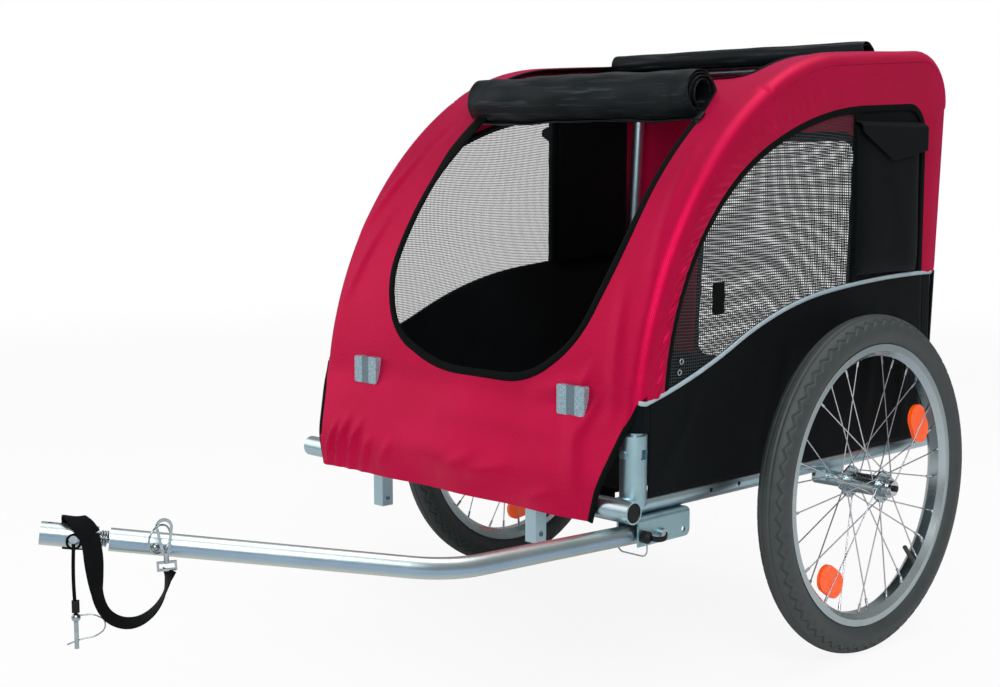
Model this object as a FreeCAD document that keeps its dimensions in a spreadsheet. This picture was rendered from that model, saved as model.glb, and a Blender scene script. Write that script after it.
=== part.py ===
import FreeCAD, Part
import math
import os
import re
from types import SimpleNamespace

import Sketcher
from FreeCAD import Placement, Rotation, Vector

# Dog bike trailer: a tube frame on two spoked wheels, a cloth cabin on two hoops and a bent tow bar.
# The front is -Y, the trailer's left side is +X, the ground is z = 0 and the axle stands over the origin.
# Lengths are in millimetres and angles in degrees. A reach is a distance along Y from the axle, and a level
# is a height over the side tubes.

sizes = {
    # fits and cuts
    "clearance": 0.3,
    "overrun": 5,
    # tube frame
    "tube_wall": 2,
    "front_tube_diameter": 30,
    "front_tube_end": 29,
    "front_tube_overhang": 31,
    "front_tube_level": -2,
    "side_tube_diameter": 28,
    "side_tube_offset": 306,
    "axle_drop": 28,
    "side_tube_overhang": 22,
    "rear_tube_setback": 37,
    "tube_hole_diameter": 6,
    "tube_hole_setback": 146,
    "tube_hole_spacing": 62,
    "plug_depth": 14,
    "plug_recess": 1.5,
    # hoop sockets and their bolts
    "socket_diameter": 36,
    "socket_top_level": 92,
    "socket_floor": 5,
    "socket_window_width": 15,
    "socket_window_height": 13,
    "socket_window_setback": 3,
    "socket_bolt_level": 68,
    "socket_bolt_diameter": 6,
    "socket_bolt_head_diameter": 11,
    "socket_bolt_head_length": 4,
    "socket_bolt_nut_length": 5,
    # hoops and cross bars
    "hoop_diameter": 25,
    "hoop_wall": 1.5,
    "hoop_front_reach": 447,
    "hoop_rear_reach": 242,
    "hoop_bend_level": 55,
    "hoop_front_radius": 554,
    "hoop_front_turn_angle": 58.6,
    "hoop_roof_radius": 364,
    "hoop_roof_turn_angle": 27.7,
    "hoop_rear_radius": 62,
    "hoop_rear_lean_angle": 3.6,
    "hoop_foot_radius": 420,
    "hoop_rear_bend_level": 107,
    "cross_bar_diameter": 12,
    # square front legs
    "leg_width": 20,
    "leg_wall": 1.6,
    "leg_offset": 160,
    "leg_bottom_level": -69,
    "leg_hole_diameter": 8,
    "leg_hole_rise": 12,
    # axle receivers
    "receiver_diameter": 22,
    "receiver_length": 42,
    "receiver_gusset_length": 44,
    "receiver_gusset_width": 18,
    # floor board
    "floor_thickness": 5,
    "floor_side_gap": 22,
    "floor_front_overhang": 8,
    # hitch channel
    "channel_width": 38,
    "channel_height": 38,
    "channel_wall": 3,
    "channel_front_overhang": 10,
    "channel_length": 104,
    "channel_corner_radius": 6,
    "channel_nose_radius": 9,
    "channel_spare_hole_setback": 13,
    "channel_spare_hole_rise": 10,
    # tow bar, its bolt and its lock pin
    "tow_bar_diameter": 26,
    "tow_bar_wall": 2,
    "tow_bar_rear_setback": 19,
    "tow_bar_rear_level": -41.5,
    "tow_bar_corner_reach": 769,
    "tow_bar_corner_level": -28,
    "tow_bar_bend_radius": 165,
    "tow_tip_offset": 60,
    "tow_tip_reach": 1152,
    "tow_tip_level": 39,
    "tow_bar_nose_length": 14,
    "tow_bolt_setback": 47,
    "tow_bolt_diameter": 8,
    "tow_bolt_head_diameter": 13,
    "tow_bolt_head_length": 5,
    "lock_pin_setback": 9,
    "lock_pin_diameter": 7,
    "lock_pin_tip_length": 10,
    "lock_knob_diameter": 16,
    "lock_knob_length": 13,
    "lock_knob_rounding": 4,
    "lock_wire_diameter": 2,
    "lock_wire_drop": 26,
    # clip pin on the tow bar and its ring
    "clip_setback": 124,
    "clip_pin_diameter": 6,
    "clip_pin_tail": 4,
    "clip_head_diameter": 11,
    "clip_head_standoff": 18.5,
    "clip_ring_radius": 16,
    "clip_ring_wire_diameter": 2.2,
    "clip_ring_standoff": 23.5,
    "clip_ring_rise": 11,
    "clip_ring_setback": 128,
    "clip_ring_tilt_angle": 45,
    # spring coupling and hitch stub
    "stub_diameter": 26,
    "stub_wall": 2.5,
    "stub_length": 62,
    "stub_bore_depth": 30,
    "stub_pin_hole_setback": 10,
    "stub_pin_hole_diameter": 6,
    "stub_bolt_setback": 36.5,
    "stub_bolt_diameter": 6,
    "stub_bolt_head_diameter": 9,
    "stub_bolt_head_length": 5,
    "coupling_gap": 12.6,
    "coupling_core_diameter": 8,
    "spring_wire_diameter": 2.2,
    "spring_coil_diameter": 16.4,
    "spring_turn_count": 3.25,
    # safety strap and snap hook
    "strap_width": 20,
    "strap_thickness": 2.2,
    "strap_cord_diameter": 8,
    "hook_thickness": 3,
    "hook_setback": 131,
    "hook_rise": 25,
    "hook_lean_angle": 11,
    "hook_top_radius": 9.5,
    "hook_bottom_radius": 5,
    "hook_rib": 3.2,
    "hook_length": 27,
    "gate_low": 19,
    "gate_high": 4,
    "gate_gap": 0.6,
    "swivel_diameter": 6,
    "swivel_length": 9,
    "eye_width": 22,
    "eye_height": 11,
    "eye_rib": 2.6,
    # hitch pin on its lanyard
    "lanyard_diameter": 4,
    "lanyard_length": 78,
    "hitch_pin_diameter": 5,
    "hitch_pin_length": 30,
    "hitch_pin_head_diameter": 10,
    "hitch_wire_diameter": 1.6,
    "hitch_wire_reach": 33,
    # wheels
    "wheel_standoff": 65,
    "axle_height": 250,
    "tyre_section": 47,
    "tyre_wall": 3.2,
    "tyre_bead_rise": 3.5,
    "rim_width": 32,
    "rim_flange_width": 1.6,
    "rim_flange_rise": 1.1,
    "rim_shoulder_drop": 8.5,
    "rim_inner_drop": 16.5,
    "rim_floor_width": 15,
    "hub_width": 80,
    "hub_shell_diameter": 30,
    "hub_flange_diameter": 47,
    "hub_flange_thickness": 3,
    "hub_flange_spread": 54,
    "hub_bore_diameter": 16,
    "bearing_diameter": 24,
    "bearing_width": 10,
    "spoke_diameter": 2,
    "spoke_hole_diameter": 2.6,
    "spoke_standoff": 1.1,
    "spoke_circle_diameter": 40,
    "flange_spoke_count": 14,
    "spoke_sweep_angle": 50,
    "spoke_rim_spread": 6,
    "nipple_diameter": 4,
    "nipple_length": 12,
    "nipple_gap": 0.8,
    "axle_diameter": 12,
    "axle_shoulder_diameter": 18,
    "axle_head_diameter": 22,
    "axle_head_length": 7,
    "button_diameter": 9,
    "button_length": 9,
    "button_travel": 4,
    "valve_diameter": 7,
    "valve_length": 30,
    "valve_angle": -45.7,
    "wheel_reflector_setback": 33,
    "wheel_reflector_length": 62,
    "wheel_reflector_width": 40,
    "wheel_reflector_thickness": 6,
    "left_front_reflector_angle": 28,
    "left_rear_reflector_angle": -124,
    "right_front_reflector_angle": -81.5,
    "right_rear_reflector_angle": 98.5,
    # cloth cover
    "cloth_thickness": 2.5,
    "cloth_gap": 0.5,
    "panel_bottom_level": -20,
    "apron_top_level": 117,
    "apron_bend_level": 22,
    "apron_bottom_setback": 30,
    "apron_trim_level": 162,
    "skirt_front_setback": 21,
    "skirt_rear_setback": 22,
    "skirt_notch_rise": 3,
    "rear_notch_setback": 22,
    "rear_split_level": 522,
    # front door opening
    "door_bottom_level": 146,
    "door_half_width": 248,
    # rear window
    "rear_window_setback": 146,
    "rear_window_bottom_level": 87,
    "rear_window_top_level": 485,
    "rear_window_radius": 32,
    # roof hatch
    "hatch_front_setback": 297,
    "hatch_side_setback": 44,
    # piping line between the skirt and what is above it
    "piping_front_overhang": 27,
    "piping_front_level": 126.4,
    "piping_heading_angle": 78.9,
    "piping_low_radius": 996,
    "piping_low_turn_angle": -13.2,
    "piping_mid_radius": 718,
    "piping_mid_turn_angle": 18.2,
    "piping_high_radius": 2473,
    "piping_high_turn_angle": 8,
    # side window
    "window_front_setback": 44,
    "window_start_level": 122,
    "window_front_radius": 375,
    "window_front_turn_angle": 64.5,
    "window_roof_radius": 618,
    "window_roof_turn_angle": 23,
    "window_corner_radius": 42,
    "window_rear_setback": 30,
    "net_thickness": 1.2,
    "net_rear_overlap": 3,
    "net_spacing": 30,
    "net_gap": 24,
    "net_margin": 4,
    # pockets with flaps
    "pocket_rear_setback": 45,
    "pocket_width": 175,
    "pocket_bottom_level": 272,
    "pocket_depth": 15,
    "pocket_rounding": 6,
    "flap_top_level": 503,
    "flap_front_drop": 14,
    "flap_point_drop": 59,
    "flap_rear_drop": 44,
    "flap_overhang": 3,
    "flap_standoff": 1.8,
    # rolled-up flaps
    "front_roll_radius": 34,
    "front_roll_setback": 92,
    "front_roll_seat_angle": 168,
    "front_roll_turn_count": 4,
    "front_roll_spacing": 6,
    "roof_roll_radius": 15.5,
    "roof_roll_side_setback": 40,
    "roof_roll_setback": 92,
    "roof_roll_turn_count": 2,
    "roof_roll_spacing": 5,
    "roll_layer": 2.5,
    # front reflectors
    "front_reflector_offset": 213,
    "front_reflector_level": 129,
    "front_reflector_width": 50,
    "front_reflector_tall": 40,
    "front_reflector_depth": 10,
    "front_reflector_rounding": 3,
}

# Places along the strap: out from the bar's axis, back from the stub's tip, and down.
strap_route = [(16, 50, -8), (17, 56, 6), (17, 61.5, 22), (17.5, 66, 44), (18.5, 73, 66), (20, 86, 84),
               (21, 104, 90), (22, 121, 80), (23, 132.5, 61), (23.5, 138.5, 42)]
# Shares of the hitch wire's reach across, of the pin's length down and of its head beside it, from the head
# past the pin's tip.
hitch_wire_shares = [(0.0, 0.0, 0.53), (0.0, 0.0, 0.8), (0.17, 0.0, 0.8), (0.55, -0.03, 0.74),
                     (0.93, 0.2, 0.64), (0.93, 0.55, 0.5), (0.6, 0.8, 0.42), (0.12, 0.86, 0.39),
                     (-0.32, 1.04, 0.39)]
# Shares of the door's half width across and of its height up, round its edge from the left top.
door_shares = [(-0.79, 1.0), (-0.83, 0.31), (-0.665, 0.108), (-0.24, 0.0), (0.485, 0.0), (0.825, 0.15),
               (0.97, 0.45), (1.0, 1.0)]
# How much of the shorter run an arc may take, the error allowed in a swept volume, the twist of the rim's
# spoke holes against the hub's, and the place of the flap's point along its width.
bend_share = 0.45
sweep_error_share = 0.02
spoke_shift_share = 0.25
flap_point_share = 0.46

# Places that follow from other sizes.
derived = {"side_tube_height": "(axle_height + axle_drop)",
           "tyre_bead_radius": "(axle_height - tyre_section + tyre_bead_rise)"}
for name in sizes:
    if name.endswith("_level"):
        derived[name.removesuffix("_level") + "_height"] = f"(axle_height + axle_drop + {name})"
for name, first, sign, second in (
        ("rim_flange_radius", "tyre_bead_radius", "+", "rim_flange_rise"),
        ("rim_shoulder_radius", "tyre_bead_radius", "-", "rim_shoulder_drop"),
        ("rim_inner_radius", "tyre_bead_radius", "-", "rim_inner_drop"),
        ("wheel_reflector_radius", "rim_inner_radius", "-", "wheel_reflector_setback"),
        ("front_tube_half_length", "side_tube_offset", "+", "front_tube_end"),
        ("track_half", "side_tube_offset", "+", "wheel_standoff"),
        ("floor_half_width", "side_tube_offset", "-", "floor_side_gap"),
        ("apron_bottom_half_width", "side_tube_offset", "-", "apron_bottom_setback"),
        ("rear_notch_half_width", "side_tube_offset", "-", "rear_notch_setback"),
        ("rear_window_half_width", "side_tube_offset", "-", "rear_window_setback"),
        ("hatch_half_width", "side_tube_offset", "-", "hatch_side_setback"),
        ("front_roll_half_length", "side_tube_offset", "-", "front_roll_setback"),
        ("roof_roll_half_length", "side_tube_offset", "-", "roof_roll_side_setback"),
        ("skirt_notch_height", "socket_top_height", "+", "skirt_notch_rise"),
        ("front_tube_reach", "hoop_front_reach", "+", "front_tube_overhang"),
        ("floor_front_reach", "hoop_front_reach", "+", "floor_front_overhang"),
        ("channel_front_reach", "hoop_front_reach", "+", "channel_front_overhang"),
        ("channel_rear_reach", "channel_front_reach", "-", "channel_length"),
        ("channel_spare_hole_reach", "channel_rear_reach", "+", "channel_spare_hole_setback"),
        ("tow_bar_rear_reach", "channel_rear_reach", "+", "tow_bar_rear_setback"),
        ("tow_bolt_reach", "channel_front_reach", "-", "tow_bolt_setback"),
        ("lock_pin_reach", "channel_front_reach", "-", "lock_pin_setback"),
        ("tube_hole_reach", "hoop_front_reach", "-", "tube_hole_setback"),
        ("skirt_front_reach", "hoop_front_reach", "-", "skirt_front_setback"),
        ("piping_front_reach", "hoop_front_reach", "+", "piping_front_overhang"),
        ("window_front_reach", "hoop_front_reach", "-", "window_front_setback"),
        ("hatch_front_reach", "hoop_front_reach", "-", "hatch_front_setback"),
        ("side_tube_rear_reach", "hoop_rear_reach", "+", "side_tube_overhang"),
        ("rear_tube_reach", "hoop_rear_reach", "-", "rear_tube_setback"),
        ("skirt_rear_reach", "hoop_rear_reach", "-", "skirt_rear_setback"),
        ("window_rear_reach", "hoop_rear_reach", "-", "window_rear_setback"),
        ("pocket_rear_reach", "hoop_rear_reach", "-", "pocket_rear_setback"),
        ("pocket_front_reach", "pocket_rear_reach", "-", "pocket_width"),
        ("net_rear_reach", "pocket_front_reach", "+", "net_rear_overlap"),
        ("roof_roll_reach", "hoop_rear_reach", "-", "roof_roll_setback")):
    derived[name] = f"({derived.get(first, first)} {sign} {second})"

doc = FreeCAD.newDocument("dog_bike_trailer")
sheet = doc.addObject("Spreadsheet::Sheet", "Sizes")
for row, (name, value) in enumerate(sizes.items(), start=1):
    sheet.set(f"A{row}", name)
    sheet.set(f"B{row}", str(value))
    sheet.setAlias(f"B{row}", name)
doc.recompute()
size = SimpleNamespace(**{name: float(sheet.get(name)) for name in sizes})

nodes = {}
along_x = Rotation(Vector(0, 1, 0), 90)
along_y = Rotation(Vector(1, 0, 0), -90)
along_z = Rotation()
turns = {"x": along_x, "y": along_y, "z": along_z}


# Formulas and basic solids

def words(formula):
    spelled = re.sub(r"[a-z_]+", lambda word: derived.get(word[0], word[0]), formula)
    return re.sub(r"[a-z_]+", lambda word: "Sizes." + word[0] if word[0] in sizes else word[0], spelled)


def bind(item, prop, formula):
    item.setExpression(prop, words(formula))


def number(formula):
    return float(sheet.evalExpression(words(formula)))


for name, formula in derived.items():
    setattr(size, name, number(formula))


def place(item, at, turn):
    item.Placement = Placement(Vector(), turn)
    for axis, formula in zip("xyz", at):
        bind(item, f"Placement.Base.{axis}", formula)


def cylinder(name, diameter, length, at, along):
    item = doc.addObject("Part::Cylinder", name)
    bind(item, "Radius", f"({diameter}) / 2")
    bind(item, "Height", length)
    place(item, at, turns[along])
    return item


def box(name, lengths, at):
    item = doc.addObject("Part::Box", name)
    for prop, formula in zip(("Length", "Width", "Height"), lengths):
        bind(item, prop, formula)
    place(item, at, along_z)
    return item


def fuse(name, *pieces):
    item = doc.addObject("Part::MultiFuse", name)
    item.Shapes = list(pieces)
    return item


def cut(name, base, *tools):
    item = doc.addObject("Part::Cut", name)
    item.Base = base
    item.Tool = tools[0] if len(tools) == 1 else fuse(name + "_tools", *tools)
    return item


def common(name, base, tool):
    item = doc.addObject("Part::Common", name)
    item.Base = base
    item.Tool = tool
    return item


def tube(name, diameter, wall, length, at, along):
    outer = cylinder(name + "_outer", diameter, length, at, along)
    bore = cylinder(name + "_bore", f"{diameter} - 2 * {wall}", length, at, along)
    return outer, bore


def mirrored(name, piece):
    item = doc.addObject("Part::Mirroring", name)
    item.Source = piece
    item.Normal = Vector(1, 0, 0)
    return item


def group(name, *pieces):
    item = doc.addObject("Part::Compound", name)
    item.Links = list(pieces)
    return item


def pair(name, piece):
    return group(name, piece, mirrored(name + "_mirrored", piece))


def feature(name, shape):
    item = doc.addObject("Part::Feature", name)
    spot = shape.Placement
    item.Shape = shape
    item.Placement = spot
    return item


def node(label, item):
    item.Label = label
    nodes[label] = item
    return item


# Sketches and bodies

def plane(body, role):
    return next(item for item in body.Origin.OriginFeatures if item.Role == role)


def sketch_on(body, role, name):
    sketch = body.newObject("Sketcher::SketchObject", name)
    sketch.AttachmentSupport = (plane(body, role), [""])
    sketch.MapMode = "FlatFace"
    return sketch


def hold(sketch, geometry, point, across, up):
    for kind, axis, formula in (("DistanceX", -2, across), ("DistanceY", -1, up)):
        if formula == "0":
            sketch.addConstraint(Sketcher.Constraint("PointOnObject", geometry, point, axis))
            continue
        row = sketch.addConstraint(Sketcher.Constraint(kind, -1, 1, geometry, point, number(formula)))
        bind(sketch, f"Constraints[{row}]", formula)


def outline(sketch, points):
    spots = [Vector(number(across), number(up), 0) for across, up in points]
    count = len(points)
    for index in range(count):
        sketch.addGeometry(Part.LineSegment(spots[index], spots[(index + 1) % count]))
    for index, (across, up) in enumerate(points):
        sketch.addConstraint(Sketcher.Constraint("Coincident", index, 2, (index + 1) % count, 1))
        hold(sketch, index, 1, across, up)


def circle(sketch, across, up, diameter):
    middle = Vector(number(across), number(up), 0)
    index = sketch.addGeometry(Part.Circle(middle, Vector(0, 0, 1), number(diameter) / 2))
    hold(sketch, index, 3, across, up)
    row = sketch.addConstraint(Sketcher.Constraint("Diameter", index, number(diameter)))
    bind(sketch, f"Constraints[{row}]", diameter)


def revolved(name, points):
    body = doc.addObject("PartDesign::Body", name)
    sketch = sketch_on(body, "XZ_Plane", name + "_profile")
    outline(sketch, points)
    turn = body.newObject("PartDesign::Revolution", name + "_turn")
    turn.Profile = sketch
    turn.ReferenceAxis = (sketch, ["H_Axis"])
    turn.Angle = 360
    return body


def drilled(body, sketch, name):
    hole = body.newObject("PartDesign::Pocket", name)
    hole.Profile = sketch
    hole.Type = "ThroughAll"
    hole.Midplane = True
    return hole


def edges_where(item, test):
    return [f"Edge{index}" for index, edge in enumerate(item.Shape.Edges, start=1) if test(edge)]


# Paths of lines and tangent arcs

def heading_vector(heading):
    angle = math.radians(heading)
    return Vector(0, math.sin(angle), math.cos(angle))


def arc_step(heading, radius, turn):
    start = math.radians(heading)
    end = math.radians(heading + turn)
    signed = math.copysign(radius, turn)
    return Vector(0, signed * (math.cos(start) - math.cos(end)), signed * (math.sin(end) - math.sin(start)))


def chain(start, heading, steps):
    edges = []
    spot = start
    for step in steps:
        if len(step) == 1:
            end = spot + heading_vector(heading) * step[0]
            edges.append(Part.LineSegment(spot, end).toShape())
        else:
            radius, turn = step
            middle = spot + arc_step(heading, radius, turn / 2)
            end = spot + arc_step(heading, radius, turn)
            edges.append(Part.Arc(spot, middle, end).toShape())
            heading += turn
        spot = end
    return edges, spot


def rounded(points, radii):
    edges = []
    last = points[0]
    for before, corner, after, radius in zip(points, points[1:], points[2:], radii):
        into = (corner - before).normalize()
        out = (after - corner).normalize()
        half = into.getAngle(out) / 2
        setback = radius * math.tan(half)
        first = corner - into * setback
        second = corner + out * setback
        inward = (out - into).normalize()
        crown = corner + inward * (radius / math.cos(half) - radius)
        edges.append(Part.LineSegment(last, first).toShape())
        edges.append(Part.Arc(first, crown, second).toShape())
        last = second
    edges.append(Part.LineSegment(last, points[-1]).toShape())
    return edges


def cord_radii(points):
    radii = []
    for before, corner, after in zip(points, points[1:], points[2:]):
        half = (corner - before).getAngle(after - corner) / 2
        shorter = min((corner - before).Length, (after - corner).Length)
        radii.append(bend_share * shorter / math.tan(half))
    return radii


def sweep(edges, diameter):
    path = Part.Wire(edges)
    first = edges[0]
    start = first.valueAt(first.FirstParameter)
    ring = Part.Wire(Part.makeCircle(diameter / 2, start, first.tangentAt(first.FirstParameter)))
    solid = path.makePipeShell([ring], True, False)
    ideal = path.Length * math.pi * diameter ** 2 / 4
    if abs(solid.Volume / ideal - 1) > sweep_error_share:
        raise RuntimeError("a swept tube lost its section")
    return solid


def extruded(edges, direction):
    return Part.Face(Part.Wire(edges)).extrude(direction)


def polygon(points):
    return Part.makePolygon(points + points[:1]).Edges


# Tube frame

front_outer, front_bore = tube(
    "front_tube", "front_tube_diameter", "tube_wall", "2 * front_tube_half_length",
    ("-front_tube_half_length", "-front_tube_reach", "front_tube_height"), "x")
node("front_cross_tube", cut("front_cross_tube", front_outer, front_bore))

side_outer, side_bore = tube(
    "side_tube", "side_tube_diameter", "tube_wall", "front_tube_reach + side_tube_rear_reach",
    ("side_tube_offset", "-front_tube_reach", "side_tube_height"), "y")
side_outer_right = mirrored("side_tube_outer_right", side_outer)
tube_holes = [
    cylinder(f"tube_hole_{index}", "tube_hole_diameter", "side_tube_diameter + 2 * overrun",
             ("side_tube_offset - side_tube_diameter / 2 - overrun",
              f"-tube_hole_reach + {index} * tube_hole_spacing", "side_tube_height"), "x")
    for index in range(2)]
side_tube = cut("side_tube", side_outer, side_bore, front_outer, *tube_holes)
node("side_tubes", pair("side_tubes", side_tube))

floor_tubes = []
floor_outers = []
for name, reach in (("axle_tube", "0"), ("rear_tube", "rear_tube_reach")):
    outer, bore = tube(name, "side_tube_diameter", "tube_wall", "2 * side_tube_offset",
                       ("-side_tube_offset", reach, "side_tube_height"), "x")
    floor_outers.append(outer)
    floor_tubes.append(cut(name, outer, bore, side_outer, side_outer_right))
node("floor_cross_tubes", group("floor_cross_tubes", *floor_tubes))

front_plug = cylinder("front_plug", "front_tube_diameter - 2 * tube_wall", "plug_depth",
                      ("front_tube_half_length - plug_recess - plug_depth",
                       "-front_tube_reach", "front_tube_height"), "x")
side_plug = cylinder("side_plug", "side_tube_diameter - 2 * tube_wall", "plug_depth",
                     ("side_tube_offset", "side_tube_rear_reach - plug_recess - plug_depth",
                      "side_tube_height"), "y")
node("tube_end_plugs", pair("tube_end_plugs", group("tube_end_plugs_left", front_plug, side_plug)))


# Hoops: one bent tube on each side, from the front socket over the roof to the rear socket

hoop_base = size.side_tube_height + size.side_tube_diameter / 2 + size.socket_floor + size.clearance
roof_heading = size.hoop_front_turn_angle + size.hoop_roof_turn_angle
leg_heading = 180 + size.hoop_rear_lean_angle


def hoop_steps(proud):
    front = (size.hoop_front_radius + proud, size.hoop_front_turn_angle)
    roof = (size.hoop_roof_radius + proud, size.hoop_roof_turn_angle)
    corner = (size.hoop_rear_radius + proud, leg_heading - roof_heading)
    foot = (size.hoop_foot_radius - proud, -size.hoop_rear_lean_angle)
    start = Vector(0, -size.hoop_front_reach - proud, size.hoop_bend_height)
    end = Vector(0, size.hoop_rear_reach + proud, size.hoop_rear_bend_height)
    bends = arc_step(0, *front) + arc_step(front[1], *roof)
    bends += arc_step(roof_heading, *corner) + arc_step(leg_heading, *foot)
    rest = end - start - bends
    ahead = heading_vector(roof_heading)
    down = heading_vector(leg_heading)
    spread = ahead.y * down.z - ahead.z * down.y
    roof_run = (rest.y * down.z - rest.z * down.y) / spread
    leg_run = (ahead.y * rest.z - ahead.z * rest.y) / spread
    return start, [front, roof, (roof_run,), corner, (leg_run,), foot]


def hoop_line(base, proud):
    start, steps = hoop_steps(proud)
    bottom = Vector(0, start.y, base)
    steps = [(start.z - base,)] + steps + [(size.hoop_rear_bend_height - base,)]
    return chain(bottom, 0, steps)[0]


hoop_edges = hoop_line(hoop_base, 0)
hoop_shift = Vector(size.side_tube_offset, 0, 0)
hoop_solid = sweep(hoop_edges, size.hoop_diameter)
hoop_inside = sweep(hoop_edges, size.hoop_diameter - 2 * size.hoop_wall)
hoop_holes = [
    Part.makeCylinder(size.socket_bolt_diameter / 2 + size.clearance, 2 * size.socket_diameter,
                      Vector(0, reach - size.socket_diameter, size.socket_bolt_height), Vector(0, 1, 0))
    for reach in (-size.hoop_front_reach, size.hoop_rear_reach)]
hoop_blank = feature("hoop_blank", hoop_solid.translated(hoop_shift))
hoop_room = sweep(hoop_line(hoop_base - size.clearance, 0), size.hoop_diameter + 2 * size.clearance)
hoop_room = feature("hoop_room", hoop_room.translated(hoop_shift))
hoop_blank_right = mirrored("hoop_blank_right", hoop_blank)
hoop = feature("hoop_left", hoop_solid.cut([hoop_inside] + hoop_holes).translated(hoop_shift))
node("hoop_left", hoop)
node("hoop_right", mirrored("hoop_right", hoop))


# Sockets that carry the hoops, each with a window and a cross bolt

def socket(name, reach, facing):
    top = "socket_top_height - side_tube_height"
    outer = cylinder(name + "_outer", "socket_diameter", top,
                     ("side_tube_offset", reach, "side_tube_height"), "z")
    window = box(name + "_window", ("socket_diameter", "socket_window_width", "socket_window_height"),
                 ("side_tube_offset",
                  f"{reach} - ({facing}) * socket_window_setback - socket_window_width / 2",
                  "socket_bolt_height - socket_window_height / 2"))
    hole = cylinder(name + "_hole", "socket_bolt_diameter + 2 * clearance", "2 * socket_diameter",
                    ("side_tube_offset", f"{reach} - socket_diameter", "socket_bolt_height"), "y")
    return cut(name, outer, hoop_room, window, hole, side_outer, front_outer)


def socket_bolt(name, reach, facing):
    grip = "socket_diameter / 2"
    ends = {"-1": ("socket_bolt_head", "socket_bolt_nut"), "1": ("socket_bolt_nut", "socket_bolt_head")}
    low, high = ends[facing]
    lengths = {"socket_bolt_head": "socket_bolt_head_length", "socket_bolt_nut": "socket_bolt_nut_length"}
    shank = cylinder(name + "_shank", "socket_bolt_diameter", "socket_diameter",
                     ("side_tube_offset", f"{reach} - {grip}", "socket_bolt_height"), "y")
    first = cylinder(name + "_first", "socket_bolt_head_diameter", lengths[low],
                     ("side_tube_offset", f"{reach} - {grip} - {lengths[low]}", "socket_bolt_height"), "y")
    second = cylinder(name + "_second", "socket_bolt_head_diameter", lengths[high],
                      ("side_tube_offset", f"{reach} + {grip}", "socket_bolt_height"), "y")
    return fuse(name, shank, first, second)


socket_places = {"front": ("-hoop_front_reach", "-1"), "rear": ("hoop_rear_reach", "1")}
for end, (reach, facing) in socket_places.items():
    node(f"{end}_sockets", pair(f"{end}_sockets", socket(f"{end}_socket", reach, facing)))
bolts = [socket_bolt(f"{end}_bolt", reach, facing) for end, (reach, facing) in socket_places.items()]
node("socket_bolts", pair("socket_bolts", group("socket_bolts_left", *bolts)))


# Cross bars between the hoops

front_bar_spot = hoop_edges[1].valueAt(hoop_edges[1].LastParameter)
rear_bar_spot = hoop_edges[3].valueAt(hoop_edges[3].LastParameter)
bars = []
for name, spot in (("front_bar", front_bar_spot), ("rear_bar", rear_bar_spot)):
    blank = cylinder(name + "_blank", "cross_bar_diameter", "2 * side_tube_offset",
                     ("-side_tube_offset", "0", "0"), "x")
    blank.setExpression("Placement.Base.y", None)
    blank.setExpression("Placement.Base.z", None)
    blank.Placement.Base = Vector(-size.side_tube_offset, spot.y, spot.z)
    bars.append(cut(name, blank, hoop_blank, hoop_blank_right))
node("cross_bars", group("cross_bars", *bars))


# Square front legs, axle receivers and floor board

leg_top = "front_tube_height - leg_bottom_height"
leg_outer = box("leg_outer", ("leg_width", "leg_width", leg_top),
                ("leg_offset - leg_width / 2", "-front_tube_reach - leg_width / 2", "leg_bottom_height"))
leg_bore = box("leg_bore", ("leg_width - 2 * leg_wall", "leg_width - 2 * leg_wall", leg_top),
               ("leg_offset - leg_width / 2 + leg_wall", "-front_tube_reach - leg_width / 2 + leg_wall",
                "leg_bottom_height"))
leg_hole = cylinder("leg_hole", "leg_hole_diameter", "2 * leg_width",
                    ("leg_offset - leg_width", "-front_tube_reach", "leg_bottom_height + leg_hole_rise"), "x")
node("front_legs", pair("front_legs", cut("front_leg", leg_outer, leg_bore, leg_hole, front_outer)))

receiver_start = "side_tube_offset + side_tube_diameter / 2 + overrun - receiver_length"
sleeve = cylinder("receiver_sleeve", "receiver_diameter", "receiver_length",
                  (receiver_start, "0", "axle_height"), "x")
gusset = box("receiver_gusset",
             ("receiver_gusset_width", "receiver_gusset_length", "side_tube_height - axle_height"),
             ("side_tube_offset - receiver_gusset_width / 2", "-receiver_gusset_length / 2", "axle_height"))
receiver_bore = cylinder("receiver_bore", "axle_diameter + 2 * clearance", "receiver_length",
                         (receiver_start, "0", "axle_height"), "x")
receiver_blank = fuse("receiver_blank", sleeve, gusset)
receiver = cut("axle_receiver", receiver_blank, receiver_bore, side_outer, floor_outers[0])
node("axle_receivers", pair("axle_receivers", receiver))

node("floor_board", box(
    "floor_board",
    ("2 * floor_half_width", "floor_front_reach + hoop_rear_reach + hoop_diameter / 2", "floor_thickness"),
    ("-floor_half_width", "-floor_front_reach", "side_tube_height + side_tube_diameter / 2")))


# Hitch channel: an upturned U under the left side tube, with holes for the bolt, the pin and a spare

tow_rise = "(tow_bar_corner_height - tow_bar_rear_height) / (tow_bar_corner_reach - tow_bar_rear_reach)"


def bar_height(reach):
    return f"tow_bar_rear_height + ({reach} - tow_bar_rear_reach) * {tow_rise}"


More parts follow.
